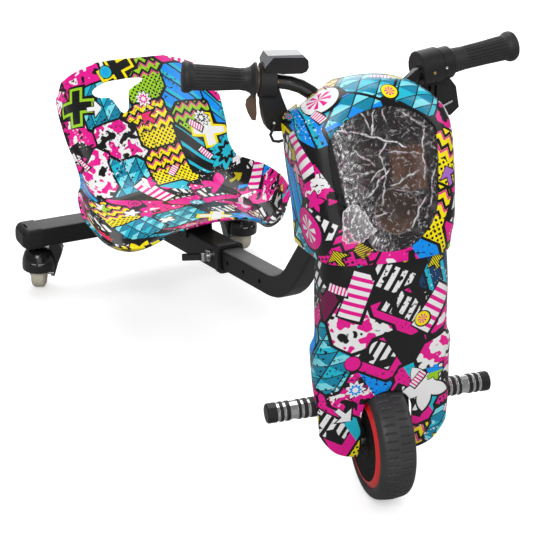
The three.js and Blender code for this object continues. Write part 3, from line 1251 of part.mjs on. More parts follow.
// The section of the crossbar, moved out by a margin
const crossbarOutline = (margin, corner, steps) =>
  centred(roundedOutline(CROSSBAR_HALF_DEPTH + margin, CROSSBAR_HALF_HEIGHT + margin, corner, steps),
    crossbarSpot);
const crossbarOuter = prism(crossbarOutline(0, CROSSBAR_CORNER, 3), "x", -CROSSBAR_HALF_LENGTH,
  CROSSBAR_HALF_LENGTH);
const crossbarInner = prism(
  crossbarOutline(-CROSSBAR_WALL, CROSSBAR_CORNER - CROSSBAR_WALL,
    2), "x", -CROSSBAR_HALF_LENGTH * 2, CROSSBAR_HALF_LENGTH * 2,
);
const sleeveOuter = prism(roundedOutline(sleeveHalf, sleeveHalf, TUBE_CORNER, 3), "z", 0, SLEEVE_LENGTH);
const boreOutline = roundedOutline(sleeveBore, sleeveBore, TUBE_CORNER - SLIDE_GAP, 2);
const sleeveInner = prism(boreOutline, "z", -WELD_DEPTH, SLEEVE_LENGTH + WELD_DEPTH);
// The sleeve prisms run along Z and are laid along the tube
const layDown = (geometry) => geometry.rotateX(-90 * DEGREE);
const stemTools = [-1, 1].map((sign) =>
  rod(STEM_SHAFT + RUNNING_GAP, underside - WELD_DEPTH, crossbarSpot[1], "z",
    SOME_SIDES).translate(sign * casterAcross, casterBack, 0),
);
const rearPiece = cut(
  join(cut(crossbarOuter, crossbarInner).applyMatrix4(fromRail),
    cut(layDown(sleeveOuter), layDown(sleeveInner))),
  rod(CLAMP_PIN_RADIUS + RUNNING_GAP, -sleeveHalf * 2, -WELD_DEPTH, "x", SOME_SIDES).translate(0,
    CLAMP_ALONG, 0),
  ...stemTools.map((tool) => tool.applyMatrix4(fromRail)),
);
addMesh(rail, "rear_frame", rearPiece, "#141415", 0.45, 0.4);
const collarHalf = sleeveHalf + COLLAR_WALL;
const collarPiece = cut(
  prism(roundedOutline(collarHalf, collarHalf, COLLAR_CORNER, 3), "z", -COLLAR_LENGTH, -RUNNING_GAP),
  prism(boreOutline, "z", -COLLAR_LENGTH * 2, COLLAR_LENGTH),
);
addMesh(rail, "sleeve_collar", layDown(collarPiece), "#19191a", 0.6, 0);
const capStart = CROSSBAR_HALF_LENGTH - CAP_LAP;
const capEnd = CROSSBAR_HALF_LENGTH + CAP_OVERHANG;
for (const [side, sign] of [["left", -1], ["right", 1]]) {
  const capRing = (x, inset) =>
    crossbarOutline(CAP_WALL - inset, CROSSBAR_CORNER + CAP_WALL,
      3).map(([y, z]) => new THREE.Vector3(x * sign, y, z));
  const rounded = sized(CAP_SHARES, [CAP_ROUND, CAP_ROUND], [capEnd - CAP_ROUND, 0]);
  const shell = loft([capRing(capStart, 0), ...rounded.map(([x, inset]) => capRing(x, inset))]);
  const cavityEnds = [capStart - WELD_DEPTH,
    CROSSBAR_HALF_LENGTH + RUNNING_GAP].map((x) => x * sign).sort((a, b) => a - b);
  const cavity = prism(crossbarOutline(RUNNING_GAP, CROSSBAR_CORNER, 3), "x", ...cavityEnds);
  const slotCentre = sign * (capEnd - CAP_ROUND);
  const slot = box(
    [slotCentre - CAP_SLOT_WIDTH / 2, slotCentre + CAP_SLOT_WIDTH / 2],
    [crossbarBack - CAP_SLOT_LENGTH / 2, crossbarBack + CAP_SLOT_LENGTH / 2],
    [crossbarSpot[1] + CROSSBAR_HALF_HEIGHT + CAP_WALL - CAP_SLOT_DEPTH,
      crossbarSpot[1] + CROSSBAR_HALF_HEIGHT * 2],
  );
  const plateRoom = rod(PLATE_RADIUS + 2 * RUNNING_GAP, 0, crossbarSpot[1], "z", MANY_SIDES);
  plateRoom.translate(sign * casterAcross, casterBack, 0);
  addMesh(trike, `end_cap_${side}`, cut(shell, cavity, slot, plateRoom), "#17171a", 0.55, 0);
}

// Clamp
const discFoot = -sleeveHalf - RUNNING_GAP;
const barrelAcross = -sleeveHalf - CLAMP_BARREL_OUT;
const clampBolt = join(
  rod(CLAMP_PIN_RADIUS, barrelAcross, -TUBE_HALF - RUNNING_GAP, "x", SOME_SIDES),
  rod(CLAMP_DISC_RADIUS, discFoot - CLAMP_DISC_THICKNESS, discFoot, "x", MANY_SIDES),
  rod(CLAMP_BARREL_RADIUS, -CLAMP_BARREL_HALF, CLAMP_BARREL_HALF, "z", MANY_SIDES,
    CLAMP_BARREL_CHAMFER).translate(barrelAcross, 0, 0),
).translate(0, CLAMP_ALONG, 0);
addMesh(rail, "clamp_bolt", clampBolt, "#c4c8cd", 0.2, 1);
const leverShape = roundedOutline(CLAMP_LEVER_LENGTH / 2, CLAMP_LEVER_WIDTH / 2, CLAMP_LEVER_WIDTH / 3, 3);
const leverMiddle = CLAMP_BARREL_RADIUS + CLAMP_LEVER_GRIP - CLAMP_LEVER_LENGTH / 2;
const leverPiece = cut(
  prism(centred(leverShape, [leverMiddle, 0]), "z", -CLAMP_LEVER_HEIGHT / 2, CLAMP_LEVER_HEIGHT / 2),
  rod(CLAMP_BARREL_RADIUS + RUNNING_GAP * 2, -CLAMP_LEVER_HEIGHT, CLAMP_LEVER_HEIGHT, "z", MANY_SIDES),
  box([0, CLAMP_LEVER_LENGTH], [-CLAMP_LEVER_WIDTH, CLAMP_LEVER_WIDTH],
    [-CLAMP_LEVER_HEIGHT, CLAMP_LEVER_HEIGHT]),
);
leverPiece.rotateZ(-CLAMP_LEVER_DEGREES * DEGREE).translate(barrelAcross, CLAMP_ALONG, 0);
addMesh(rail, "clamp_lever", leverPiece, "#161617", 0.5, 0);

// Seat
const seatFront = mouth[0] + SEAT_PAST_MOUTH;
const seatSurface = ribSurface(
  stationsFrom(SEAT_SHARES, [SEAT_HALF_WIDTH, SEAT_LENGTH, SEAT_RISE],
    [seatFront, mouth[1] - SEAT_DROP]), SEAT_CORNER,
);
const seatShell = (skin) => patchShell(seatSurface, everyStation(seatSurface), bothShares, skin);
const handle = prism(sized(HANDLE_SHARES, [HANDLE_HALF_WIDTH, HANDLE_HALF_HEIGHT]), "z", -SEAT_CORNER,
  SEAT_CORNER);
handle.rotateX(HANDLE_PITCH_DEGREES * DEGREE);
handle.translate(...seatSurface(HANDLE_RIB_SHARE * seatSurface.last).at(0).toArray());
addMesh(trike, "seat", cut(seatShell([0, SEAT_WALL]), handle), "#f0309a", 0.25, 0);

// Casters
const hoodTop = HOOD_BOTTOM + HOOD_HEIGHT;
const inside = hoodTop - HOOD_ROOF;
const hoodProfile = sized(HOOD_SHARES, [HOOD_RADIUS, HOOD_HEIGHT], [0, HOOD_BOTTOM]);
const insideProfile = sized(HOOD_INSIDE_SHARES, [HOOD_RADIUS - HOOD_WALL, HOOD_HEIGHT - HOOD_ROOF],
  [0, HOOD_BOTTOM]);
const tailOutline = sized(TAIL_SHARES, [TAIL_REACH, TAIL_HEIGHT], [0, TAIL_FOOT]);
const wheelRoomHalf = CASTER_HALF_WIDTH + CASTER_ROOM;
const pinEnd = tailOutline[tailOutline.length - 1][0] + CASTER_PIN_PAST;
const bandOuter = HOOD_RADIUS - HOOD_WALL - BAND_GAP;
const bandFoot = HOOD_BOTTOM + BAND_RISE;
for (const [index, sign] of [-1, 1].entries()) {
  const side = sign < 0 ? "left" : "right";
  const fixed = addGroup(trike, [sign * casterAcross, casterBack, 0]);
  addMesh(
    fixed, `caster_plate_${side}`,
    pipe(PLATE_RADIUS, STEM_SHAFT + RUNNING_GAP, underside - PLATE_HEIGHT, underside - RUNNING_GAP, "z",
      MANY_SIDES),
    "#1a1a1b", 0.5, 0.3,
  );
  const swivel = addGroup(fixed, [0, 0, floor]);
  swivel.rotation.z = CASTER_YAW_DEGREES[index] * DEGREE;
  addMesh(
    swivel, `caster_stem_${side}`,
    revolve(
      [[0, inside - STEM_HEAD_HEIGHT], [STEM_HEAD, inside - STEM_HEAD_HEIGHT],
        [STEM_HEAD, inside - RUNNING_GAP],
        [STEM_SHAFT, inside - RUNNING_GAP], [STEM_SHAFT, underside + PLATE_HEIGHT], [0,
          underside + PLATE_HEIGHT]],
      "z", SOME_SIDES,
    ),
    "#a9adb2", 0.3, 0.9,
  );
  const inward = new THREE.Matrix4().makeScale(-sign, 1, 1);
  const wheelSpot = [0, CASTER_TRAIL, CASTER_RADIUS];
  const clearance = rod(CASTER_RADIUS + CASTER_ROOM, -wheelRoomHalf, wheelRoomHalf, "x",
    MANY_SIDES).translate(...wheelSpot);
  const slotTools = HOOD_SLOTS_DEGREES.map((angle) => {
    const tool = box(
      [STEM_HEAD * 2, HOOD_RADIUS * 2], [-HOOD_SLOT_LENGTH / 2,
        HOOD_SLOT_LENGTH / 2], [-HOOD_SLOT_HEIGHT / 2, HOOD_SLOT_HEIGHT / 2],
    );
    return tool.rotateZ(angle * DEGREE).translate(0, 0, HOOD_BOTTOM + HOOD_SLOT_RISE);
  });
  const boreTool = rod(STEM_SHAFT + RUNNING_GAP, 0, underside * 2, "z", SOME_SIDES);
  const hoodInside = revolve([[0, 0], [insideProfile[0][0], 0], ...insideProfile, [0, inside]], "z",
    MANY_SIDES);
  const hood = cut(
    join(
      cut(revolve([[0, hoodTop], ...hoodProfile, [0, HOOD_BOTTOM]], "z", MANY_SIDES), hoodInside),
      cut(prism(tailOutline, "y", -TAIL_FRONT, TAIL_BACK).applyMatrix4(inward), hoodInside),
    ),
    clearance, boreTool, ...slotTools,
    rod(CASTER_PIN + RUNNING_GAP, -CASTER_RADIUS * 2, CASTER_RADIUS * 2, "x",
      SOME_SIDES).translate(...wheelSpot),
  );
  addMesh(swivel, `caster_hood_${side}`, hood, "#161617", 0.35, 0);
  const band = cut(pipe(bandOuter, bandOuter - BAND_WALL, bandFoot, bandFoot + BAND_HEIGHT, "z",
    MANY_SIDES), clearance);
  addMesh(swivel, `caster_band_${side}`, band, "#c9cdd2", 0.2, 1);
  const roll = addGroup(swivel, wheelSpot);
  const treadHalf = [
    [CASTER_PIN + RUNNING_GAP, CASTER_HALF_WIDTH], [CASTER_RADIUS - CASTER_EDGE, CASTER_HALF_WIDTH],
    [CASTER_RADIUS - CASTER_EDGE / 4, CASTER_HALF_WIDTH - CASTER_EDGE / 2], [CASTER_RADIUS,
      CASTER_HALF_WIDTH - CASTER_EDGE],
  ];
  const tread = ring([...treadHalf.map(([radius, x]) => [radius, -x]), ...[...treadHalf].reverse()], "x",
    MANY_SIDES);
  addMesh(roll, `caster_wheel_${side}`, tread, "#cfc6ae", 0.6, 0);
  const headFace = -CASTER_HALF_WIDTH - RUNNING_GAP;
  const headEnd = -CASTER_HALF_WIDTH - CASTER_PIN_HEAD_HEIGHT;
  addMesh(
    roll, `caster_axle_${side}`,
    revolve(
      [[0, headEnd], [CASTER_PIN_HEAD, headEnd], [CASTER_PIN_HEAD, headFace], [CASTER_PIN, headFace],
        [CASTER_PIN, pinEnd], [0, pinEnd]],
      "x", SOME_SIDES,
    ).applyMatrix4(inward),
    "#b4b8bc", 0.25, 0.9,
  );
}

// Seat bracket and bolts, in the pitched frame
const seatBelow = seatShell([-SEAT_WALL * 9, SEAT_WALL + RUNNING_GAP]).applyMatrix4(fromRail);
const { halfWidth, front, length, plate } = SEAT_BRACKET;
const overBracket = common(
  seatShell([0, SEAT_WALL]).applyMatrix4(fromRail),
  box([-halfWidth, halfWidth], [front, front + length], [sleeveHalf, sleeveHalf + SEAT_RISE]),
);
overBracket.computeBoundingBox();
const bracketTop = overBracket.boundingBox.min.z + SEAT_BRACKET.lap;
const bracketFoot = sleeveHalf - SEAT_BRACKET.foot;
const cheek = [sleeveHalf + RUNNING_GAP, sleeveHalf + RUNNING_GAP + plate];
const bracketSide = (sign) => box(cheek.map((x) => x * sign).sort((a, b) => a - b),
  [front, front + length], [bracketFoot, bracketTop]);
const boltSpot = (sign) => [sign * (halfWidth - SEAT_BOLT.inset), front + SEAT_BOLT.along, 0];
const boltHole = (sign) => rod(SEAT_BOLT.radius + RUNNING_GAP, bracketFoot, bracketTop * 2, "z",
  SOME_SIDES).translate(...boltSpot(sign));
const seatBracket = cut(
  join(bracketSide(-1), bracketSide(1),
    box([-halfWidth, halfWidth], [front, front + length], [bracketTop - plate, bracketTop + plate])),
  seatBelow, boltHole(-1), boltHole(1),
);
addMesh(rail, "seat_bracket", seatBracket, "#151516", 0.45, 0.5);
for (const [side, sign] of [["left", -1], ["right", 1]]) {
  const under = bracketTop - plate - RUNNING_GAP;
  const bolt = join(
    rod(SEAT_BOLT.head, under - SEAT_BOLT.headHeight, under, "z", SOME_SIDES, SEAT_BOLT.chamfer),
    rod(SEAT_BOLT.radius, under - SEAT_BOLT.chamfer, bracketTop - plate / 3, "z", SOME_SIDES),
  );
  addMesh(rail, `seat_bolt_${side}`, bolt.translate(...boltSpot(sign)), "#bfc3c8", 0.25, 0.9);
}

// The part stands on its wheels with the middle of its length over the origin
const frontEnd = wheelCentre.y - WHEEL_RADIUS;
const rearEnd = seatFront + SEAT_LENGTH + SEAT_WALL;
trike.position.set(0, -(frontEnd + rearEnd) / 2, -floor);
export default trike;
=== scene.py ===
# %% [markdown]
# A drift trike is a small three-wheeled kart: a motor wheel steers in front under a tall printed shell,
# and a bucket seat slides on a square tube above two swivelling casters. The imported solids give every
# place and size. This file gives each surface its shape up close, its finish, its light and its camera.

# %% Load the solids and keep their box
import json
import math
import bpy
import bmesh
import numpy as np
from mathutils import Matrix


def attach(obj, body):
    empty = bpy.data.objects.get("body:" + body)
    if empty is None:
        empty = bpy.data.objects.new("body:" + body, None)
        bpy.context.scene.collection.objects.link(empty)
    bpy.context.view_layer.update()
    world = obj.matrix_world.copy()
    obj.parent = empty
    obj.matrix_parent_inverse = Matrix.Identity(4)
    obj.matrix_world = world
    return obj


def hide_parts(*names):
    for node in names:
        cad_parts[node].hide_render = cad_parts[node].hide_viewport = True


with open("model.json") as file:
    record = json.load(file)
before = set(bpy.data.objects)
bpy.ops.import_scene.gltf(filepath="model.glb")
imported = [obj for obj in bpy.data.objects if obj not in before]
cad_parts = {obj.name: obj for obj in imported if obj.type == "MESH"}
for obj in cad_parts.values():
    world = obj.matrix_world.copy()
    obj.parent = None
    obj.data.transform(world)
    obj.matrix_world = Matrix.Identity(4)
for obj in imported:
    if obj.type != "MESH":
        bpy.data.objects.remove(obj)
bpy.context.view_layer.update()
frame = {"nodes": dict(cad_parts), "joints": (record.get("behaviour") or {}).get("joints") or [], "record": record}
MM = 0.001

# %% [markdown]
# The camera comes first, because every other choice is judged through it. A long lens stands to the
# rider's front right and looks down a little, so the trike shows its front, its right side and its seat.
# The place and the three directions were worked out from the wheel, the pegs, the bars and the tube.

# %% Camera
CAMERA_PLACE = (-1.1880, -2.16849, 1.35817)
CAMERA_RIGHT = (0.8796, -0.47423, 0.03744)
CAMERA_UP = (0.17027, 0.38735, 0.90607)
CAMERA_BACK = (-0.44419, -0.79061, 0.42146)
CAMERA_LENS = 100.81
SENSOR_WIDTH = 36.0

camera_data = bpy.data.cameras.new("camera")
camera_data.lens = CAMERA_LENS
camera_data.sensor_width = SENSOR_WIDTH
camera = bpy.data.objects.new("camera", camera_data)
bpy.context.scene.collection.objects.link(camera)
turn = Matrix((CAMERA_RIGHT, CAMERA_UP, CAMERA_BACK)).transposed()
camera.matrix_world = Matrix.Translation(CAMERA_PLACE) @ turn.to_4x4()
bpy.context.scene.camera = camera
print("camera at", CAMERA_PLACE, "lens", CAMERA_LENS)

# %% [markdown]
# The stage is a large flat pale floor under even light. A white world would wash out the gloss, so
# most of the light comes from big soft lamps, and the world only fills the shadows.
# Camera and glass rays see plain white instead, which keeps the background clean, and mirror rays see a
# dim room, so that black plastic stays black and only the lamps make highlights.

# %% Stage and light
FLOOR_HALF = 6.0
FLOOR_COLOUR = (0.9, 0.9, 0.9, 1)
FLOOR_LIGHT = 0.42
FLOOR_BOUNCE = 0.34
WORLD_STRENGTH = 0.5
SEEN_STRENGTH = 1.0
GLOSS_STRENGTH = 0.22
WORLD_RAYS = (
    (("Is Camera Ray", "Is Transmission Ray"), SEEN_STRENGTH),
    (("Is Glossy Ray",), GLOSS_STRENGTH),
)
BODY_MIDDLE = (0, 0, 0.3)
LAMPS = {
    "key": ((-2.2, -2.6, 2.9), BODY_MIDDLE, 1.6, 54),
    "fill": ((2.4, -1.8, 2.2), BODY_MIDDLE, 1.8, 22),
    "top": ((0.2, 1.2, 3.0), BODY_MIDDLE, 2.0, 40),
    "front": ((-1.3, -3.0, 0.9), (0, -0.3, 0.35), 2.0, 12),
    "back": ((1.5, 3.2, 1.7), BODY_MIDDLE, 2.6, 36),
}


def plain_material(name, colour, roughness=0.5, others=()):
    """A new material with one shader, whose values are set on its own sockets."""
    material = bpy.data.materials.new(name)
    material.use_nodes = True
    shader = material.node_tree.nodes["Principled BSDF"]
    for key, value in {"Base Color": colour, "Roughness": roughness, **dict(others)}.items():
        shader.inputs[key].default_value = value
    return material


def feed(tree, socket, value):
    """Links a socket or a signal to an input, or sets a plain value on it."""
    value = getattr(value, "socket", value)
    if isinstance(value, bpy.types.NodeSocket):
        tree.links.new(value, socket)
    else:
        socket.default_value = value


def add_node(tree, kind, inputs=(), **settings):
    """A new shader node with its settings, and with its inputs fed by name or number."""
    node = tree.nodes.new("ShaderNode" + kind)
    for key, value in settings.items():
        setattr(node, key, value)
    for key, value in dict(inputs).items():
        feed(tree, node.inputs[key], value)
    return node


def seen_mask(tree, rays):
    """A socket that is 1 for rays of these kinds and 0 for all others."""
    path = add_node(tree, "LightPath")
    total = path.outputs[rays[0]]
    for ray in rays[1:]:
        total = add_node(tree, "Math", {0: total, 1: path.outputs[ray]}, operation="MAXIMUM").outputs[0]
    return total


def make_floor():
    """A square of floor at height zero. It is pale to the camera and darker to all other rays, so that it
    doesn't light the black frame from below."""
    mesh = bpy.data.meshes.new("floor")
    side = FLOOR_HALF
    corners = [(-side, -side, 0), (side, -side, 0), (side, side, 0), (-side, side, 0)]
    mesh.from_pydata(corners, [], [(0, 1, 2, 3)])
    floor = bpy.data.objects.new("floor", mesh)
    bpy.context.scene.collection.objects.link(floor)
    matt = {"Specular IOR Level": 0.0, "Emission Color": (1, 1, 1, 1)}
    material = plain_material("floor_pale", FLOOR_COLOUR, 0.9, matt)
    tree = material.node_tree
    shader = tree.nodes["Principled BSDF"]
    seen = seen_mask(tree, ("Is Camera Ray",))
    lift = add_node(tree, "Math", {0: seen, 1: FLOOR_LIGHT}, operation="MULTIPLY")
    feed(tree, shader.inputs["Emission Strength"], lift.outputs[0])
    tone = add_node(tree, "MapRange", {"Value": seen, "To Min": FLOOR_BOUNCE, "To Max": FLOOR_COLOUR[0]})
    feed(tree, shader.inputs["Base Color"], tone.outputs[0])
    mesh.materials.append(material)


def make_world():
    """An even world: white where it is seen, softer where it lights and dim in reflections."""
    world = bpy.data.worlds.new("studio")
    world.use_nodes = True
    bpy.context.scene.world = world
    tree = world.node_tree
    background = tree.nodes["Background"]
    background.inputs["Color"].default_value = (1, 1, 1, 1)
    level = WORLD_STRENGTH
    for rays, strength in WORLD_RAYS:
        inputs = {"Factor": seen_mask(tree, rays), 2: level, 3: strength}
        level = add_node(tree, "Mix", inputs, data_type="FLOAT").outputs[0]
    feed(tree, background.inputs["Strength"], level)


def soft_lamp(name, place, target, size, power):
    """A square lamp of the given side in metres, turned towards a target."""
    data = bpy.data.lights.new(name, "AREA")
    data.size = size
    data.energy = power
    lamp = bpy.data.objects.new(name, data)
    bpy.context.scene.collection.objects.link(lamp)
    aim = Matrix.Translation(place).translation - Matrix.Translation(target).translation
    lamp.matrix_world = Matrix.Translation(place) @ aim.to_track_quat("Z", "Y").to_matrix().to_4x4()


make_floor()
make_world()
for name, (place, target, size, power) in LAMPS.items():
    soft_lamp(name, place, target, size, power)
bpy.context.scene.view_settings.view_transform = "Standard"

# %% [markdown]
# Shader graphs soon fill with arithmetic. This small wrapper lets one write a formula as Python
# arithmetic, and each sign adds one Math node, so a pattern reads like the sum that it is.

# %% Arithmetic on shader sockets
class Signal:
    """A number that changes over the surface: a socket, with arithmetic that adds Math nodes."""

    def __init__(self, tree, socket):
        self.tree = tree
        self.socket = socket

    def apply(self, kind, *others, clamp=False):
        """The result of one Math node of this kind on this number and the others."""
        inputs = dict(enumerate((self, *others)))
        node = add_node(self.tree, "Math", inputs, operation=kind, use_clamp=clamp)
        return Signal(self.tree, node.outputs[0])

    def __add__(self, other):
        return self.apply("ADD", other)

    def __sub__(self, other):
        return self.apply("SUBTRACT", other)

    def __mul__(self, other):
        return self.apply("MULTIPLY", other)

    def __truediv__(self, other):
        return self.apply("DIVIDE", other)

    def __neg__(self):
        return self.apply("MULTIPLY", -1.0)

    def above(self, edge, soft):
        """0 below an edge and 1 above it, over a soft width."""
        return ((self - edge) / soft).apply("ADD", 0.5, clamp=True)

    def below(self, edge, soft):
        """1 below an edge and 0 above it, over a soft width."""
        return (-((self - edge) / soft)).apply("ADD", 0.5, clamp=True)

    def size(self):
        return self.apply("ABSOLUTE")

    def most(self, other):
        return self.apply("MAXIMUM", other)

    def least(self, other):
        return self.apply("MINIMUM", other)


def mixed(tree, mask, under, over):
    """A colour socket that is under where the mask is 0 and over where it is 1."""
    node = add_node(tree, "Mix", {"Factor": mask}, data_type="RGBA")
    for name, value in (("A", under), ("B", over)):
        feed(tree, next(s for s in node.inputs if s.name == name and s.type == "RGBA"), value)
    return next(s for s in node.outputs if s.type == "RGBA")


def noise(tree, vector, scale, detail=2.0, rough=0.5):
    """A noise value between 0 and 1 at so many swings a metre."""
    inputs = {"Scale": scale, "Detail": detail, "Roughness": rough, "Vector": vector}
    return Signal(tree, add_node(tree, "TexNoise", inputs).outputs[0])


print("signal wrapper ready")

# %% [markdown]
# Moulded shells are easiest as one formula. Each rib starts flat at the middle of the shell, swells to a
# corner, turns round it and runs straight to the rear edge. A table gives the middle, the corner and the
# edge of a few ribs, and a smooth curve through the table gives every rib between them.

# %% Ribs of a moulded shell
NEWTON_ROUNDS = 14
NEWTON_STEP = 0.001
PLACE_LIMIT = 0.7
SHARE_LIMIT = 0.2
NORMAL_STEP = 0.01


def smooth_rows(table, place):
    """Catmull-Rom through the rows of a table: at each place, four rows are blended by cubic weights."""
    last = len(table) - 1
    start = np.clip(np.floor(place).astype(int), 0, last - 1)
    t = (place - start)[..., None]
    p, q, r, s = [table[np.clip(start + k, 0, last)] for k in (-1, 0, 1, 2)]
    return q + t * (r - p + t * (2 * p - 5 * q + 4 * r - s + t * (3 * (q - r) + s - p))) / 2


def rib_points(table, reach, place, share):
    """Points of the shell. Half of the way out is a cubic Bezier from the middle to the corner's bend,
    a quarter is a quadratic Bezier round the corner, and the last quarter is a line to the edge."""
    row = smooth_rows(table, place)
    zero = np.zeros(row.shape[:-1] + (1,))
    start = np.concatenate([zero, row[..., 0:2]], -1)
    knee = row[..., 2:5]
    end = row[..., 5:8]
    side = knee[..., 0:1]
    handle = np.concatenate([side / 2, row[..., 0:2]], -1)
    early = np.concatenate([side / 3, row[..., 0:2]], -1)
    inward = handle - knee
    inward /= np.linalg.norm(inward, axis=-1, keepdims=True)
    outward = end - knee
    length = np.linalg.norm(outward, axis=-1, keepdims=True)
    bend_start = knee + inward * reach
    bend_end = knee + outward * np.minimum(reach / length, 0.8)
    near = bend_start + inward * np.linalg.norm(bend_start - handle, axis=-1, keepdims=True) / 2
    a = np.abs(share)[..., None]
    u = np.clip(2 * a, 0, 1)
    first_half = (1 - u) ** 3 * start + 3 * u * (1 - u) ** 2 * early
    cubic = first_half + 3 * u * u * (1 - u) * near + u**3 * bend_start
    u = np.clip(4 * a - 2, 0, 1)
    round_corner = (1 - u) ** 2 * bend_start + 2 * u * (1 - u) * knee + u * u * bend_end
    u = 4 * a - 3
    straight = bend_end * (1 - u) + end * u
    points = np.where(a <= 0.5, cubic, np.where(a <= 0.75, round_corner, straight))
    points[..., 0] *= np.where(share < 0, -1, 1)
    return points


def rib_normals(table, reach, place, share):
    """Unit normals: the step across the ribs crossed with the step along them."""
    last = len(table) - 1
    above = rib_points(table, reach, np.minimum(place + NORMAL_STEP, last), share)
    below = rib_points(table, reach, np.maximum(place - NORMAL_STEP, 0), share)
    right = rib_points(table, reach, place, np.minimum(share + NORMAL_STEP, 1))
    left = rib_points(table, reach, place, np.maximum(share - NORMAL_STEP, -1))
    normal = np.cross(right - left, above - below)
    return normal / np.linalg.norm(normal, axis=-1, keepdims=True)


def solve_on(table, reach, seen, target, place, share):
    """Newton's rule for the place and share whose point, through a flat view, falls on each target."""
    small = NEWTON_STEP
    for _ in range(NEWTON_ROUNDS):
        here = seen(rib_points(table, reach, place, share))
        by_place = (seen(rib_points(table, reach, place + small, share)) - here) / small
        by_share = (seen(rib_points(table, reach, place, share + small)) - here) / small
        miss = target - here
        area = by_place[..., 0] * by_share[..., 1] - by_place[..., 1] * by_share[..., 0]
        step_place = (miss[..., 0] * by_share[..., 1] - miss[..., 1] * by_share[..., 0]) / area
        step_share = (by_place[..., 0] * miss[..., 1] - by_place[..., 1] * miss[..., 0]) / area
        place = np.clip(place + np.clip(step_place, -PLACE_LIMIT, PLACE_LIMIT), 0, len(table) - 1)
        share = np.clip(share + np.clip(step_share, -SHARE_LIMIT, SHARE_LIMIT), -1, 1)
    return place, share


print("rib functions ready")

# %% [markdown]
# A shell has a thickness and rounded rims. Two skins are offset along the normals, and a half-round lip
# joins them round every border. The grid stays regular, so a print can follow it without a seam.

# %% Two skins and a rounded lip
LIP_STEPS = 6
TINY = 1e-9


def grid_quads(rows, columns, closed):
    """Corner numbers of the quads of a grid, row by row, joined round when closed."""
    r, c = np.meshgrid(np.arange(rows - 1), np.arange(columns if closed else columns - 1), indexing="ij")
    near, far = r * columns, (r + 1) * columns
    after = (c + 1) % columns
    return np.stack([near + c, near + after, far + after, far + c], -1).reshape(-1, 4)


def border_loops(rows, columns, closed):
    """Each border as (corner numbers, numbers of their inner neighbours), in the order that faces need."""
    number = np.arange(rows * columns).reshape(rows, columns)
    if closed:
        return [(number[0], number[1]), (number[-1][::-1], number[-2][::-1])]
    ring = [number[0, :-1], number[:-1, -1], number[-1, :0:-1], number[:0:-1, 0]]
    inner = [number[1, :-1], number[:-1, -2], number[-2, :0:-1], number[:0:-1, 1]]
    return [(np.concatenate(ring), np.concatenate(inner))]


def unit_rows(vectors):
    """Each row divided by its own length."""
    return vectors / np.maximum(np.linalg.norm(vectors, axis=-1, keepdims=True), TINY)


def shell_arrays(points, normals, print_place, depths, closed):
    """Corners, faces and print places of a shell between two depths under a grid of points. The lip is a
    half circle: out along the surface by the sine and across the thickness by the cosine."""
    rows, columns = points.shape[:2]
    flat = points.reshape(-1, 3)
    norm = normals.reshape(-1, 3)
    place = print_place.reshape(-1, 2)
    count = rows * columns
    middle = -sum(depths) / 2
    half = (depths[1] - depths[0]) / 2
    corners = [flat + norm * (middle + half), flat + norm * (middle - half)]
    places = [place, place]
    quads = grid_quads(rows, columns, closed)
    faces = [quads, quads[:, ::-1] + count]
    total = 2 * count
    for loop, inner in border_loops(rows, columns, closed):
        out = flat[loop] - flat[inner]
        out -= norm[loop] * np.sum(out * norm[loop], -1, keepdims=True)
        out = unit_rows(out)
        out = unit_rows(out + np.roll(out, 1, 0) + np.roll(out, -1, 0))
        drift = unit_rows(place[loop] - place[inner])
        strips = [loop]
        for k in range(1, LIP_STEPS):
            angle = math.pi * k / LIP_STEPS
            rim = norm[loop] * (middle + half * math.cos(angle)) + out * half * math.sin(angle)
            corners.append(flat[loop] + rim)
            places.append(place[loop] + drift * half * (1 - math.cos(angle)))
            strips.append(total + np.arange(len(loop)))
            total += len(loop)
        strips.append(loop + count)
        for near, far in zip(strips, strips[1:]):
            faces.append(np.stack([np.roll(near, -1), near, far, np.roll(far, -1)], -1))
    return np.concatenate(corners), np.concatenate(faces), np.concatenate(places)


def new_piece(name, corners, faces, print_spots=None):
    """A mesh object at the origin from corners and faces, with a print map when places are given."""
    mesh = bpy.data.meshes.new(name)
    face_rows = faces.tolist() if isinstance(faces, np.ndarray) else faces
    mesh.from_pydata(np.asarray(corners, float).tolist(), [], face_rows)
    if print_spots is not None:
        layer = mesh.uv_layers.new(name="print")
        loop_corner = np.zeros(len(mesh.loops), int)
        mesh.loops.foreach_get("vertex_index", loop_corner)
        layer.data.foreach_set("uv", np.asarray(print_spots, np.float32)[loop_corner].ravel())
    mesh.polygons.foreach_set("use_smooth", [True] * len(mesh.polygons))
    mesh.update()
    piece = bpy.data.objects.new(name, mesh)
    bpy.context.scene.collection.objects.link(piece)
    return piece


def face_out(piece):
    """Turns every face outward by the sign of the volume that the faces enclose."""
    mesh = piece.data
    mesh.calc_loop_triangles()
    corner = np.zeros(len(mesh.vertices) * 3)
    mesh.vertices.foreach_get("co", corner)
    corner = corner.reshape(-1, 3)
    triangle = np.zeros(len(mesh.loop_triangles) * 3, int)
    mesh.loop_triangles.foreach_get("vertices", triangle)
    a, b, c = corner[triangle.reshape(-1, 3)].transpose(1, 0, 2)
    volume = np.sum(a * np.cross(b, c)) / 6
    if volume < 0:
        mesh.flip_normals()
    return abs(volume)


print("shell functions ready")

# %% [markdown]
# Everything on the steering turns with it, and it rests turned to the rider's right. The shapes are
# easier to think of with the steering straight, so they are made straight and turned about its axis.

# %% Straight steering to its rest
REST_TURN = math.radians(-13.2)
steering_joint = next(j for j in frame["joints"] if j["name"] == "steering_turn")
AXIS_POINT = np.array(steering_joint["pos_m"])
AXIS_LINE = np.array(steering_joint["axis"])
# where the straight wheel's middle and the floor lie in the part's frame
WHEEL_BACK = -0.4586897
FLOOR_LIFT = -0.0000304


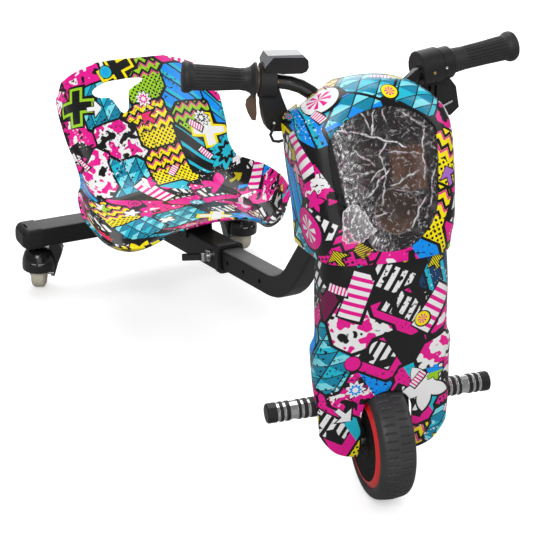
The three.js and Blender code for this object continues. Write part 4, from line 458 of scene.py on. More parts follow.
def turned(points):
    """Points of the straight steering, turned about its axis by Rodrigues' formula, in the part's frame."""
    moved = np.asarray(points, float) + np.array([0, WHEEL_BACK, FLOOR_LIFT]) - AXIS_POINT
    along = (moved @ AXIS_LINE)[..., None] * AXIS_LINE
    side = np.cross(AXIS_LINE, moved)
    return AXIS_POINT + along + (moved - along) * math.cos(REST_TURN) + side * math.sin(REST_TURN)


def turned_direction(vectors):
    """The same turn for directions, which have no place."""
    return turned(np.asarray(vectors, float)) - turned(np.zeros(3))


print("steering axis", AXIS_POINT.round(4), AXIS_LINE.round(4))

# %% [markdown]
# The front shell comes in two mouldings. The upper one wraps over the bars and holds the lens, and the
# lower one covers the fork. Each row below gives the middle, the corner and the rear edge of one rib.

# %% Ribs of the front shell
SHELL_HALF_WIDTH = 126 * MM
SHELL_FRONT = -37.3 * MM
SHELL_LENGTH = 197.3 * MM
UPPER_BOTTOM = 432 * MM
UPPER_RISE = 249 * MM
LOWER_BOTTOM = 84 * MM
LOWER_RISE = 356 * MM
UPPER_SHARES = np.array([
    [0, 0, 0.815, 0.115, -0.01, 0.95, 0.615, -0.025], [0.015, 0.09, 0.84, 0.125, 0.07, 0.96, 0.63, 0.055],
    [0.045, 0.175, 0.89, 0.15, 0.155, 0.96, 0.65, 0.135],
    [0.1, 0.295, 0.92, 0.2, 0.275, 0.97, 0.695, 0.255],
    [0.16, 0.435, 0.935, 0.25, 0.415, 0.985, 0.755, 0.395],
    [0.21, 0.555, 0.95, 0.31, 0.525, 0.995, 0.805, 0.505],
    [0.265, 0.675, 0.96, 0.38, 0.645, 1, 0.85, 0.615], [0.33, 0.825, 0.945, 0.455, 0.745, 1, 0.88, 0.675],
    [0.41, 0.945, 0.89, 0.515, 0.805, 0.985, 0.9, 0.71], [0.57, 1, 0.825, 0.645, 0.84, 0.92, 0.935, 0.745],
    [0.785, 0.98, 0.73, 0.82, 0.845, 0.81, 0.955, 0.775], [1, 0.915, 0.51, 0.95, 0.88, 0.635, 0.98, 0.835],
])
LOWER_SHARES = np.array([
    [0.085, 0, 0.84, 0.12, 0, 0.81, 0.16, 0], [0.065, 0.12, 0.865, 0.11, 0.12, 0.84, 0.15, 0.12],
    [0.055, 0.235, 0.88, 0.105, 0.235, 0.865, 0.17, 0.235],
    [0.045, 0.34, 0.89, 0.105, 0.34, 0.89, 0.24, 0.34],
    [0.035, 0.465, 0.895, 0.105, 0.465, 0.895, 0.305, 0.465],
    [0.03, 0.53, 0.895, 0.105, 0.53, 0.895, 0.315, 0.53],
    [0.025, 0.585, 0.85, 0.11, 0.585, 0.84, 0.315, 0.585],
    [0.015, 0.69, 0.835, 0.11, 0.69, 0.835, 0.325, 0.69],
    [0.01, 0.805, 0.825, 0.11, 0.805, 0.835, 0.335, 0.805],
    [0.01, 0.915, 0.8, 0.115, 0.915, 0.82, 0.345, 0.915], [0.025, 1, 0.775, 0.14, 1, 0.825, 0.355, 1],
])


def station_rows(shares, half_width, front, length, bottom, rise):
    """Rows in metres from their shares: depths and heights run from a start, and widths from the middle."""
    start = np.array([front, bottom, 0, front, bottom, 0, front, bottom])
    return start + shares * np.array([length, rise, half_width, length, rise, half_width, length, rise])


UPPER_RIBS = station_rows(UPPER_SHARES, SHELL_HALF_WIDTH, SHELL_FRONT, SHELL_LENGTH, UPPER_BOTTOM, UPPER_RISE)
LOWER_RIBS = station_rows(LOWER_SHARES, SHELL_HALF_WIDTH, SHELL_FRONT, SHELL_LENGTH, LOWER_BOTTOM, LOWER_RISE)
SHELL_CORNER = 28 * MM
GUESS_STEPS = 90
MAP_ROWS = 240
MAP_COLUMNS = 241
MAP_END = 0.001
SHELL_WALL = 3.2 * MM
LENS_SHARES = np.array([
    [0, 0.9], [0.268, 0.874], [0.46, 0.824], [0.618, 0.757], [0.68, 0.698], [0.687, 0.614], [0.666, 0.454],
    [0.632, 0.302], [0.59, 0.235], [0.467, 0.151], [0.247, 0.075], [0.096, 0.058],
])
LENS_HALF = np.array([0, UPPER_BOTTOM]) + LENS_SHARES * [SHELL_HALF_WIDTH, UPPER_RISE]
ARCH_HALF = MM * np.array([
    [110, 131], [107.5, 131], [103, 121], [90, 103], [78, 93], [64, 87.5], [52, 85], [43, 84.5], [43, 160],
    [40, 178], [31, 193], [17, 202], [0, 205],
])


def front_view(points):
    """The shell as it is seen square from the front: across and up."""
    return points[..., [0, 2]]


def even_line(points, count, closed=False):
    """Points spaced evenly along a polyline by its summed length."""
    line = np.concatenate([points, points[:1]]) if closed else points
    reach = np.concatenate([[0], np.cumsum(np.linalg.norm(np.diff(line, axis=0), axis=1))])
    wanted = np.linspace(0, reach[-1], count, endpoint=not closed)
    return np.stack([np.interp(wanted, reach, line[:, k]) for k in range(line.shape[1])], -1)


def softened(points, rounds, closed):
    """Corner cutting: every round puts two points on each side, a quarter in from its ends."""
    for _ in range(rounds):
        if closed:
            after = np.roll(points, -1, 0)
            points = np.stack([points * 0.75 + after * 0.25, points * 0.25 + after * 0.75], 1).reshape(-1, 2)
        else:
            near, far = points[:-1], points[1:]
            cut = np.stack([near * 0.75 + far * 0.25, near * 0.25 + far * 0.75], 1).reshape(-1, 2)
            points = np.concatenate([points[:1], cut, points[-1:]])
    return points


def mirrored_outline(half):
    """A closed outline from its right half, which starts and ends near the middle line."""
    other = (half * [-1, 1])[::-1]
    keep = np.abs(other[:, 0]) > 1e-6
    return np.concatenate([half, other[keep]])


def guess_on(table, reach, seen, target):
    """The nearest point of a coarse grid of the shell to each target, as a start for Newton's rule."""
    places = np.linspace(0.02, len(table) - 1.02, GUESS_STEPS)
    shares = np.linspace(-0.74, 0.74, GUESS_STEPS)
    place, share = np.meshgrid(places, shares, indexing="ij")
    spots = seen(rib_points(table, reach, place, share)).reshape(-1, 2)
    nearest = np.argmin(((target[:, None] - spots[None]) ** 2).sum(-1), 1)
    return place.reshape(-1)[nearest], share.reshape(-1)[nearest]


def outline_on(table, reach, seen, outline):
    """The place and share of every point of an outline drawn on a flat view."""
    place, share = guess_on(table, reach, seen, outline)
    return np.stack(solve_on(table, reach, seen, outline, place, share), -1)


def print_places(points, middle_column):
    """Print map in metres: across by the summed length of each row from the middle column, and up by the
    summed length of the middle column."""
    step = np.linalg.norm(np.diff(points, axis=1), axis=2)
    across = np.concatenate([np.zeros((len(points), 1)), np.cumsum(step, 1)], 1)
    across -= across[:, [middle_column]]
    rises = np.linalg.norm(np.diff(points[:, middle_column], axis=0), axis=1)
    up = np.concatenate([[0], np.cumsum(rises)])
    return np.stack([across, np.broadcast_to(up[:, None], across.shape)], -1)


def blended(grid, row, column, down, right):
    """A value between four points of a grid, by its shares of the way down and to the right."""
    low = grid[row, column] * (1 - right) + grid[row, column + 1] * right
    high = grid[row + 1, column] * (1 - right) + grid[row + 1, column + 1] * right
    return low * (1 - down) + high * down


def print_map(table, reach):
    """The print map of a whole shell as a function of place and share, read from a fine grid."""
    rows = np.linspace(0, len(table) - 1, MAP_ROWS)
    columns = np.linspace(-1, 1, MAP_COLUMNS)
    points = rib_points(table, reach, *np.meshgrid(rows, columns, indexing="ij"))
    grid = print_places(points, MAP_COLUMNS // 2)
    last_row, last_column = MAP_ROWS - 1, MAP_COLUMNS - 1

    def at(place, share):
        r = np.clip(place / (len(table) - 1) * last_row, 0, last_row - MAP_END)
        c = np.clip((share + 1) / 2 * last_column, 0, last_column - MAP_END)
        i, j = r.astype(int), c.astype(int)
        return blended(grid, i, j, (r - i)[..., None], (c - j)[..., None])

    return at


def shell_piece(name, table, reach, grid, depths, closed, own_print=None, lift=0.0, move=turned):
    """A shell over a grid of places and shares. Its print is read from the whole shell's map, or worked
    out from its points. The points then rise along their normals. The points and print come back too."""
    points = rib_points(table, reach, *grid)
    normals = rib_normals(table, reach, *grid)
    spots = own_print(points) if own_print else print_map(table, reach)(*grid)
    points = points + normals * lift
    corners, faces, corner_spots = shell_arrays(points, normals, spots, depths, closed)
    piece = new_piece(name, move(corners), faces, corner_spots)
    print(name, len(faces), "faces, volume in m3", face_out(piece))
    return piece, points, spots


print("front shell: rows", len(UPPER_RIBS), len(LOWER_RIBS))

# %% [markdown]
# The upper moulding is a sheet with one hole. Rays from the middle of the lens reach the hole's edge and
# then the sheet's border, and the grid runs along them, so both rims are clean lines of the grid.

# %% Upper shell
BAR_NOTCH = MM * np.array([
    [48, 610], [50, 642], [62, 660], [84, 678], [118, 690], [138, 650], [98, 626], [84, 604],
])
NOTCH_FRONT = 121 * MM
RAY_COUNT = 560
RAY_STEPS = 64
RAY_FAR = 14
RAY_TRIES = 500
RAY_HALVINGS = 12
SHARE_STRETCH = 5.5


def inside(polygon, spots):
    """True where a point is in a polygon: an odd number of sides cross the line to its right."""
    hit = np.zeros(spots.shape[:-1], bool)
    for (ax, ay), (bx, by) in zip(polygon, np.roll(polygon, -1, 0)):
        crosses = (ay > spots[..., 1]) != (by > spots[..., 1])
        where = ax + (spots[..., 1] - ay) * (bx - ax) / (by - ay if by != ay else 1e-12)
        hit ^= crosses & (spots[..., 0] < where)
    return hit


def border_reach(table, reach, centre, angles, gone):
    """How far each ray from the centre runs in the plane of place and share before it leaves the sheet:
    the first try that is off it, then halvings between that one and the one before."""
    last = len(table) - 1

    def left_at(run, angle):
        place = centre[0] + run * np.cos(angle)
        share = centre[1] + run * np.sin(angle) / SHARE_STRETCH
        points = rib_points(table, reach, np.clip(place, 0, last), np.clip(share, -1, 1))
        return (place < 0) | (place > last) | (np.abs(share) > 1) | gone(points)

    far = np.linspace(0, 1, RAY_TRIES) * RAY_FAR
    first = np.argmax(left_at(far[None, :], angles[:, None]), 1)
    low = far[np.maximum(first - 1, 0)]
    high = far[first]
    for _ in range(RAY_HALVINGS):
        middle = (low + high) / 2
        out = left_at(middle, angles)
        low, high = np.where(out, low, middle), np.where(out, middle, high)
    return low


def notched(points):
    """True inside the two notches that the bars pass through."""
    spot = np.stack([np.abs(points[..., 0]), points[..., 2]], -1)
    return inside(BAR_NOTCH, spot) & (points[..., 1] > NOTCH_FRONT)


def ray_grid(table, reach, hole, gone, core=None):
    """Place and share of a ring grid between a hole's outline and the border of the sheet. The rays
    start at the core, a spot that sees the whole outline, or else halfway up the hole."""
    centre = np.array([(hole[:, 0].max() + hole[:, 0].min()) / 2, 0.0]) if core is None else core
    off = (hole - centre) * [1, SHARE_STRETCH]
    turn = np.arctan2(off[:, 1], off[:, 0])
    order = np.argsort(turn)
    even = np.linspace(-math.pi, math.pi, RAY_COUNT, endpoint=False)
    ends = [(p - centre[0], (s - centre[1]) * SHARE_STRETCH) for p in (0, len(table) - 1) for s in (-1, 1)]
    angles = np.sort(np.concatenate([even, [math.atan2(rise, run) for run, rise in ends]]))
    outer = border_reach(table, reach, centre, angles, gone)
    turn = turn[order]
    wrapped = np.concatenate([turn - 2 * math.pi, turn, turn + 2 * math.pi])
    near = np.interp(angles, wrapped, np.tile(np.hypot(off[:, 0], off[:, 1])[order], 3))
    mix = np.linspace(0, 1, RAY_STEPS)[:, None]
    run = near * (1 - mix) + outer * mix
    return centre[0] + run * np.cos(angles), centre[1] + run * np.sin(angles) / SHARE_STRETCH


lens_outline = even_line(softened(mirrored_outline(LENS_HALF), 2, True), 400, True)
lens_hole = outline_on(UPPER_RIBS, SHELL_CORNER, front_view, lens_outline)
upper_grid = ray_grid(UPPER_RIBS, SHELL_CORNER, lens_hole, notched)
upper_shell, _, _ = shell_piece("upper_shell", UPPER_RIBS, SHELL_CORNER, upper_grid, (0, SHELL_WALL), True)

# %% [markdown]
# The lower moulding has no hole, but its bottom edge climbs over the wheel. Each column of the grid joins
# a point of that edge to a point of the straight top, and the columns fan out along the arch.

# %% Lower shell
ARCH_POINTS = 300
ARCH_REACH = 106 * MM
ARCH_STRETCH = 6
CORNER_STEPS = 22
EVEN_SHARE = 0.35
COLUMN_STEPS = 84


def lower_grid():
    """Place and share of a sheet between the arched bottom edge and the top edge. The columns meet the
    top partly evenly and partly straight above the places where they left the bottom."""
    right = even_line(softened(ARCH_HALF, 2, False), ARCH_POINTS // 2)
    line = np.concatenate([right, (right * [-1, 1])[-2::-1]])[::-1]
    line = line[np.abs(line[:, 0]) <= ARCH_REACH]
    bottom = outline_on(LOWER_RIBS, SHELL_CORNER, front_view, line)
    left_edge = np.array([[bottom[0, 0], s] for s in np.linspace(-1, bottom[0, 1], CORNER_STEPS)[:-1]])
    right_edge = np.array([[bottom[-1, 0], s] for s in np.linspace(bottom[-1, 1], 1, CORNER_STEPS)[1:]])
    bottom = np.concatenate([left_edge, bottom, right_edge])
    span = np.linalg.norm(np.diff(bottom * [1, ARCH_STRETCH], axis=0), axis=1)
    along = np.concatenate([[0], np.cumsum(span)])
    along = along / along[-1] * 2 - 1
    top_share = along * EVEN_SHARE + np.clip(bottom[:, 1], -1, 1) * (1 - EVEN_SHARE)
    rise = np.linspace(0, 1, COLUMN_STEPS)[:, None]
    place = bottom[:, 0] * (1 - rise) + (len(LOWER_RIBS) - 1) * rise
    share = bottom[:, 1] * (1 - rise) + top_share * rise
    return place, share


lower_shell, _, _ = shell_piece("lower_shell", LOWER_RIBS, SHELL_CORNER, lower_grid(), (0, SHELL_WALL), False)
for shell, node in ((upper_shell, "fairing_upper"), (lower_shell, "fairing_lower")):
    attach(shell, "steering")
    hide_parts(node)

# %% [markdown]
# The lens and its loose film lie just under the opening of the shell. On the real trike the lens is one
# smoked moulding and the film is its shipping wrap. Both follow the shell's own curve, a little deeper,
# so their grids are windows of the same rib formula.

# %% Lens and film
LENS_DEPTHS = (3.5 * MM, 6.1 * MM)
LENS_MARGIN = (0.16, 0.035)
LENS_GRID = (90, 80)
FILM_MARGIN = (0.03, 0.006)
FLAP_GRID = (90, 90)
FILM_GRID = (230, 200)
FILM_DEPTH = 2.2 * MM
FILM_THICKNESS = 0.12 * MM
FILM_WRINKLE = 1.0 * MM
CRINKLES = (((5, 4), 1.0), ((11, 9), 0.6), ((25, 21), 0.3))
FLAP_CORNERS = np.array([[-104, 30], [-28, 106]]) * MM
FLAP_LIFT = 1.6 * MM


def window_grid(hole, margin, counts):
    """Place and share of a plain grid that covers a hole's outline and a margin round it."""
    low = hole.min(0) - margin
    high = hole.max(0) + margin
    sides = [np.linspace(low[k], high[k], counts[k]) for k in (0, 1)]
    return np.meshgrid(*sides, indexing="ij")


def random_field(shape, cells, generator):
    """Smooth random heights between -1 and 1: a coarse grid of random numbers, eased between its points."""
    coarse = generator.uniform(-1, 1, (cells[0] + 2, cells[1] + 2))
    r = np.linspace(0, cells[0], shape[0])[:, None]
    c = np.linspace(0, cells[1], shape[1])[None, :]
    i, j = np.minimum(r.astype(int), cells[0]), np.minimum(c.astype(int), cells[1])
    fr, fc = r - i, c - j
    fr, fc = fr * fr * (3 - 2 * fr), fc * fc * (3 - 2 * fc)
    return blended(coarse, i, j, fr, fc)


def crinkled(shape, generator):
    """Heights of a crinkled film: the flipped sizes of random waves make folds, summed at three scales."""
    height = np.zeros(shape)
    for cells, weight in CRINKLES:
        height += weight * (1 - 2 * np.abs(random_field(shape, cells, generator)))
    return height


def window_print(points, known_points, known_places):
    """Print places of points from those of the nearest known points, moved on by the step between them
    in the front view."""
    known = front_view(known_points).reshape(-1, 2)
    flat = front_view(points).reshape(-1, 2)
    near = np.argmin(((flat[:, None] - known[None, ::7]) ** 2).sum(2), 1) * 7
    places = known_places.reshape(-1, 2)[near] + flat - known[near]
    return places.reshape(*points.shape[:-1], 2)


lens_grid = window_grid(lens_hole, LENS_MARGIN, LENS_GRID)
lens_cover, _, _ = shell_piece("lens_cover", UPPER_RIBS, SHELL_CORNER, lens_grid, LENS_DEPTHS, False,
                               lambda points: print_places(points, LENS_GRID[1] // 2))
film_height = crinkled(FILM_GRID, np.random.default_rng(41))[..., None]
film_grid = window_grid(lens_hole, FILM_MARGIN, FILM_GRID)
film, film_points, film_spots = shell_piece(
    "lens_film", UPPER_RIBS, SHELL_CORNER, film_grid, (0, FILM_THICKNESS), False,
    lambda points: print_places(points, FILM_GRID[1] // 2), film_height * FILM_WRINKLE / 2 - FILM_DEPTH)
flap_outline = np.array([0, UPPER_BOTTOM]) + FLAP_CORNERS
flap_grid = window_grid(outline_on(UPPER_RIBS, SHELL_CORNER, front_view, flap_outline), 0, FLAP_GRID)
flap_height = crinkled(FLAP_GRID, np.random.default_rng(7))[..., None]
film_flap, _, _ = shell_piece(
    "film_flap", UPPER_RIBS, SHELL_CORNER, flap_grid, (0, FILM_THICKNESS), False,
    lambda points: window_print(points, film_points, film_spots), FLAP_LIFT + flap_height * FILM_WRINKLE / 3)
for piece, node in ((lens_cover, "lens"), (film, None), (film_flap, None)):
    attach(piece, "steering")
    if node:
        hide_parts(node)

# %% [markdown]
# The seat is one moulded bucket with thick rounded rims and a hand hole in its back. It is the same kind
# of ribbed shell, lying down, and the ring grid runs from the hand hole out to the rim.

# %% Seat
SEAT_HALF_WIDTH = 218 * MM
SEAT_FRONT = 599.99 * MM
SEAT_LENGTH = 412 * MM
SEAT_FLOOR = 163.96 * MM
SEAT_RISE = 279 * MM
SEAT_CORNER = 55 * MM
SEAT_WALL = 5 * MM
SEAT_SHARES = np.array([
    [0, 0.295, 0.69, 0.11, 0.065, 0.915, 0.205, 0.16],
    [0.04, 0.27, 0.735, 0.175, 0.005, 0.985, 0.255, 0.235], [0.11, 0.25, 0.79, 0.255, 0, 1, 0.31, 0.27],
    [0.245, 0.22, 0.79, 0.35, 0.05, 0.985, 0.37, 0.31],
    [0.415, 0.195, 0.755, 0.475, 0.11, 0.93, 0.46, 0.34],
    [0.545, 0.21, 0.69, 0.58, 0.16, 0.845, 0.54, 0.35], [0.65, 0.28, 0.65, 0.65, 0.23, 0.78, 0.635, 0.36],
    [0.73, 0.41, 0.645, 0.73, 0.35, 0.77, 0.71, 0.435], [0.82, 0.615, 0.675, 0.835, 0.565, 0.8, 0.77, 0.55],
    [0.91, 0.81, 0.69, 0.93, 0.76, 0.81, 0.86, 0.71], [0.97, 0.935, 0.69, 0.975, 0.875, 0.785, 0.925, 0.81],
    [1, 1, 0.595, 0.995, 0.955, 0.715, 0.98, 0.88],
])
HANDLE_SHARES = np.array([
    [-1, 0.08], [-0.92, -0.16], [-0.75, -0.22], [-0.61, -0.27], [-0.51, -0.71], [-0.44, -1], [-0.33, -0.98],
    [-0.26, -0.8], [-0.2, -0.24], [-0.14, 0.04], [0.18, 0.33], [0.2, 0.49], [-0.22, 0.55], [-0.63, 0.51],
    [-0.91, 0.29],
])
HANDLE_HALF = np.array([101, 49]) * MM
HANDLE_CORE = np.array([[-0.35, 0.14]])
HANDLE_PITCH = math.radians(56.5)
HANDLE_PLACE = 9.0

SEAT_RIBS = station_rows(SEAT_SHARES, SEAT_HALF_WIDTH, SEAT_FRONT, SEAT_LENGTH, SEAT_FLOOR, SEAT_RISE)
handle_middle = rib_points(SEAT_RIBS, SEAT_CORNER, np.array([HANDLE_PLACE]), np.array([0.0]))[0]
handle_up = np.array([0, math.cos(HANDLE_PITCH), math.sin(HANDLE_PITCH)])


def back_view(points):
    """The seat as it is seen square to its back: across, and up the back from the hand hole's middle."""
    return np.stack([points[..., 0], (points - handle_middle) @ handle_up], -1)


def uncut(points):
    """A sheet with no notches."""
    return np.zeros(points.shape[:-1], bool)


handle_outline = even_line(softened(HANDLE_SHARES * HANDLE_HALF, 2, True), 400, True)
handle_hole = outline_on(SEAT_RIBS, SEAT_CORNER, back_view, handle_outline)
handle_core = outline_on(SEAT_RIBS, SEAT_CORNER, back_view, HANDLE_CORE * HANDLE_HALF)[0]
seat_grid = ray_grid(SEAT_RIBS, SEAT_CORNER, handle_hole, uncut, handle_core)
seat_shell, _, _ = shell_piece("seat_shell", SEAT_RIBS, SEAT_CORNER, seat_grid, (0, SEAT_WALL), True,
                               move=lambda corners: corners + np.array([0, WHEEL_BACK, FLOOR_LIFT]))
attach(seat_shell, "rear_carriage")
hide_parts("seat")

# %% [markdown]
# Round pieces are lathe work. A profile of radius and place along an axis is swept through many angles,
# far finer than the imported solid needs. The tyre's tread is then cut by pushing the rubber in along a
# pattern: thin sipes across each half, short strokes that cross them, and a low seam from the mould.

# %% Lathe work
def basis_along(direction):
    """A direction at unit length and two unit vectors square to it."""
    direction = np.asarray(direction, float) / np.linalg.norm(direction)
    first = np.cross(direction, [0, 0, 1.0] if abs(direction[2]) < 0.9 else [1.0, 0, 0])
    first /= np.linalg.norm(first)
    return direction, first, np.cross(direction, first)


def rounded_profile(profile, rounds=2, closed=False):
    """A profile whose corners are cut softly, a quarter at a time."""
    return softened(np.asarray(profile, float), rounds, closed)


def lathe_arrays(radius, along, centre, direction, closed_ends):
    """Corners and quads of a turned body. Radius and along are grids of profile step by angle; the last
    angle joins the first. Ends on the axis are closed by a fan, and open profiles join end to start."""
    axis, first, second = basis_along(direction)
    steps, sides = radius.shape
    angle = np.linspace(0, 2 * math.pi, sides, endpoint=False)
    round_way = np.cos(angle)[:, None] * first + np.sin(angle)[:, None] * second
    corners = np.asarray(centre) + along[..., None] * axis + radius[..., None] * round_way
    corners = corners.reshape(-1, 3)
    quads = grid_quads(steps, sides, True)
    number = np.arange(steps * sides).reshape(steps, sides)
    after = np.roll(number, -1, 1)
    if not closed_ends:
        seam = np.stack([number[-1], after[-1], after[0], number[0]], -1)
        return corners, np.concatenate([quads, seam])
    tips = [len(corners), len(corners) + 1]
    ends = np.asarray(centre) + np.array([along[0, 0], along[-1, 0]])[:, None] * axis
    corners = np.concatenate([corners, ends])
    caps = [[tips[0], b, a] for a, b in zip(number[0].tolist(), after[0].tolist())]
    caps += [[tips[1], a, b] for a, b in zip(number[-1].tolist(), after[-1].tolist())]
    return corners, quads.tolist() + caps


def turned_piece(name, profile, centre, direction, body, nodes, sides=144, closed_ends=False, cut=None):
    """A lathe piece that stands for the named nodes. A cut function lowers the radius by angle and place."""
    profile = np.asarray(profile, float)
    radius = np.repeat(profile[:, :1], sides, 1)
    along = np.repeat(profile[:, 1:], sides, 1)
    if cut is not None:
        angle = np.linspace(0, 2 * math.pi, sides, endpoint=False)[None, :]
        radius = radius - cut(radius, along, angle)
    corners, faces = lathe_arrays(radius, along, centre, direction, closed_ends)
    piece = new_piece(name, corners, faces)
    volume = face_out(piece)
    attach(piece, body)
    if nodes:
        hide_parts(*nodes)
    print(name, len(faces), "faces, volume", round(volume * 1e6, 1), "cm3")
    return piece


def fine_profile(points, step):
    """A profile with extra points so that no stretch is longer than a step."""
    points = np.asarray(points, float)
    out = [points[0]]
    for a, b in zip(points, points[1:]):
        count = max(1, int(np.ceil(np.linalg.norm(b - a) / step)))
        out += [a + (b - a) * k / count for k in range(1, count + 1)]
    return np.array(out)


WHEEL_RADIUS = 100 * MM
TYRE_HEIGHT = 22.8 * MM
TYRE_HALF_WIDTH = 30 * MM
TYRE_SHARES = np.array([
    [0, 0.83], [0.1, 0.95], [0.34, 1], [0.67, 0.93], [0.89, 0.72], [0.97, 0.27], [1, 0],
])
BEAD = WHEEL_RADIUS - TYRE_HEIGHT
WHEEL_MIDDLE = turned(np.array([0, 0, WHEEL_RADIUS]))
WHEEL_LINE = turned_direction(np.array([1.0, 0, 0]))
SIPE_COUNT = 46
SIPE_DEPTH = 1.7 * MM
SIPE_INNER = 2.5 * MM
SIPE_OUTER = 21 * MM
STROKE_LINES = (6.5 * MM, 15.5 * MM)
SEAM_PLACE = 1.5 * MM
TREAD_FOOT = 88 * MM
WALL_LINE = 84 * MM
WALL_LINE_DEPTH = 0.25 * MM
TYRE_ANGLES = 920
TYRE_STEP = 0.95 * MM
RING_ANGLES = 180


def soft_step(value, edge, width):
    """0 below the edge and 1 above it, eased over a width."""
    t = np.clip((value - edge) / width + 0.5, 0, 1)
    return t * t * (3 - 2 * t)


def tread_cut(radius, along, angle):
    """How deep the tread is cut: thin sipes straight across each half, short strokes that cross them at
    two distances from the middle, and a low mould seam. All sizes come from the angle round the wheel
    and the place across the tyre."""
    side = np.abs(along)
    phase = angle / (2 * math.pi) * SIPE_COUNT + np.where(along < 0, 0.5, 0)
    bowed = phase + 0.06 * np.sin(side / (7 * MM))
    wave = np.abs(bowed % 1 - 0.5)
    across = soft_step(side, SIPE_INNER, 1 * MM) * soft_step(-side, -SIPE_OUTER, 2 * MM)
    sipe = soft_step(wave, 0.435, 0.05) * across
    strokes = 0
    for line in STROKE_LINES:
        stroke = 1 - soft_step(np.abs(side - line), 0.8 * MM, 0.7 * MM)
        strokes = np.maximum(strokes, stroke * soft_step(wave, 0.33, 0.1))
    seam = -0.12 * (1 - soft_step(np.abs(along - SEAM_PLACE), 0.5 * MM, 0.6 * MM))
    outer = soft_step(radius, TREAD_FOOT, 6 * MM)
    wall_lines = WALL_LINE_DEPTH * (1 - soft_step(np.abs(radius - WALL_LINE), 0.7 * MM, 0.5 * MM))
    return SIPE_DEPTH * (np.maximum(sipe, strokes * 0.8) + seam) * outer + wall_lines


tyre_half = np.stack([BEAD + TYRE_SHARES[:, 0] * TYRE_HEIGHT, TYRE_SHARES[:, 1] * TYRE_HALF_WIDTH], -1)
tyre_line = np.concatenate([tyre_half * [1, -1], tyre_half[-2::-1]])
tyre_line = fine_profile(rounded_profile(tyre_line, 3), TYRE_STEP)
turned_piece("tyre", tyre_line, WHEEL_MIDDLE, WHEEL_LINE, "front_wheel", ["front_tyre"],
             sides=TYRE_ANGLES, cut=tread_cut)

HUB_HALF = 24.5 * MM
RING_OUTER = BEAD + 1.4 * MM
RING_FOOT = HUB_HALF + 0.3 * MM
RING_WIDTH = 12 * MM
RING_DEPTH = 6.6 * MM
RING_INNER = RING_OUTER - RING_WIDTH
RING_TOP = RING_FOOT + RING_DEPTH
COVER_RADIUS = RING_INNER + 0.6 * MM
COVER_FOOT = HUB_HALF + 0.2 * MM
COVER_FACE = COVER_FOOT + 6.0 * MM
COVER_BORE = 9.4 * MM
COVER_BEAD = COVER_FACE + 1 * MM
for side, sign in (("left", -1), ("right", 1)):
    ring_line = [
        (RING_INNER, RING_FOOT), (RING_OUTER, RING_FOOT), (RING_OUTER, RING_FOOT + 1.4 * MM),
        (RING_INNER + 1.2 * MM, RING_TOP), (RING_INNER, RING_TOP),
    ]
    ring_line = rounded_profile(ring_line, 2, True) * [1, sign]
    turned_piece("rim_band_" + side, ring_line, WHEEL_MIDDLE, WHEEL_LINE, "front_wheel",
                 ["rim_ring_" + side], sides=RING_ANGLES)
    cover_line = [
        (COVER_BORE, COVER_FOOT), (COVER_RADIUS, COVER_FOOT), (COVER_RADIUS, COVER_FACE),
        (34 * MM, COVER_FACE), (31 * MM, COVER_BEAD), (24 * MM, COVER_BEAD), (22 * MM, COVER_FACE),
        (COVER_BORE, COVER_FACE),
    ]
    cover_line = fine_profile(cover_line, 3 * MM) * [1, sign]
    turned_piece("wheel_cover_" + side, rounded_profile(cover_line, 1, True), WHEEL_MIDDLE, WHEEL_LINE,
                 "front_wheel", ["hub_cover_" + side], sides=RING_ANGLES)

# %% [markdown]
# The grips are moulded rubber over the bars. Fine grooves run along them, a soft bulb keeps the hand on,
# and one grip flares to a flange at its inner end. The same lathe makes them, with grooves by angle.

# %% Grips
GRIP_START = np.array([155, 163, 667]) * MM
GRIP_SWEEP = math.radians(8.7)
GRIP_RISE = math.radians(5.1)
GRIP_FLAT = np.array([math.cos(GRIP_SWEEP), math.sin(GRIP_SWEEP), 0]) * math.cos(GRIP_RISE)
GRIP_WAY = GRIP_FLAT + [0, 0, math.sin(GRIP_RISE)]
GRIP_LENGTH = 117 * MM
GRIP_RADIUS = 24.2 * MM
FLARE_START = 3.7 * MM
FLARE_LENGTH = 25.3 * MM
FLARE_FOOT = 16.6 * MM
FLARE_RADIUS = 26.6 * MM
GRIP_SHARES = np.array([
    [0, 0.81], [0.05, 0.81], [0.21, 0.76], [0.51, 0.78], [0.85, 0.83], [0.89, 0.95], [0.92, 1],
    [0.96, 0.99], [0.99, 0.91],
])
FLARE_SHARES = np.array([
    [0, 1], [0.11, 1], [0.23, 0.7], [0.37, 0.34], [0.6, 0.12], [1, 0],
])
GROOVES = 22
GROOVE_DEPTH = 1.3 * MM
GROOVE_START = 24 * MM
GROOVE_END = 96 * MM
END_BORE = 4.5 * MM
END_WALL = 4.5 * MM
BAR_BORE = 11.4 * MM
GROOVE_FLOOR = 13.5 * MM
GRIP_STEP = 1.2 * MM
GRIP_ANGLES = 312

grip_line = GRIP_SHARES * [GRIP_LENGTH, GRIP_RADIUS]
flare_line = FLARE_SHARES * [FLARE_LENGTH, FLARE_RADIUS - FLARE_FOOT] + [FLARE_START, FLARE_FOOT]


def grip_profile(head):
    """Radius and place along the grip, from its inner end over its outside and back through its bore."""
    tail = grip_line[grip_line[:, 0] > head[-1, 0]]
    tip = [[GRIP_LENGTH, GRIP_RADIUS * 0.45], [GRIP_LENGTH, END_BORE]]
    outside = np.concatenate([head, tail, tip])
    floor = GRIP_LENGTH - END_WALL
    bore = [[floor, END_BORE], [floor, BAR_BORE], [head[0, 0], BAR_BORE]]
    line = fine_profile(np.concatenate([outside, bore, outside[:1]])[:, ::-1], GRIP_STEP)[:-1]
    return rounded_profile(line, 1, True)


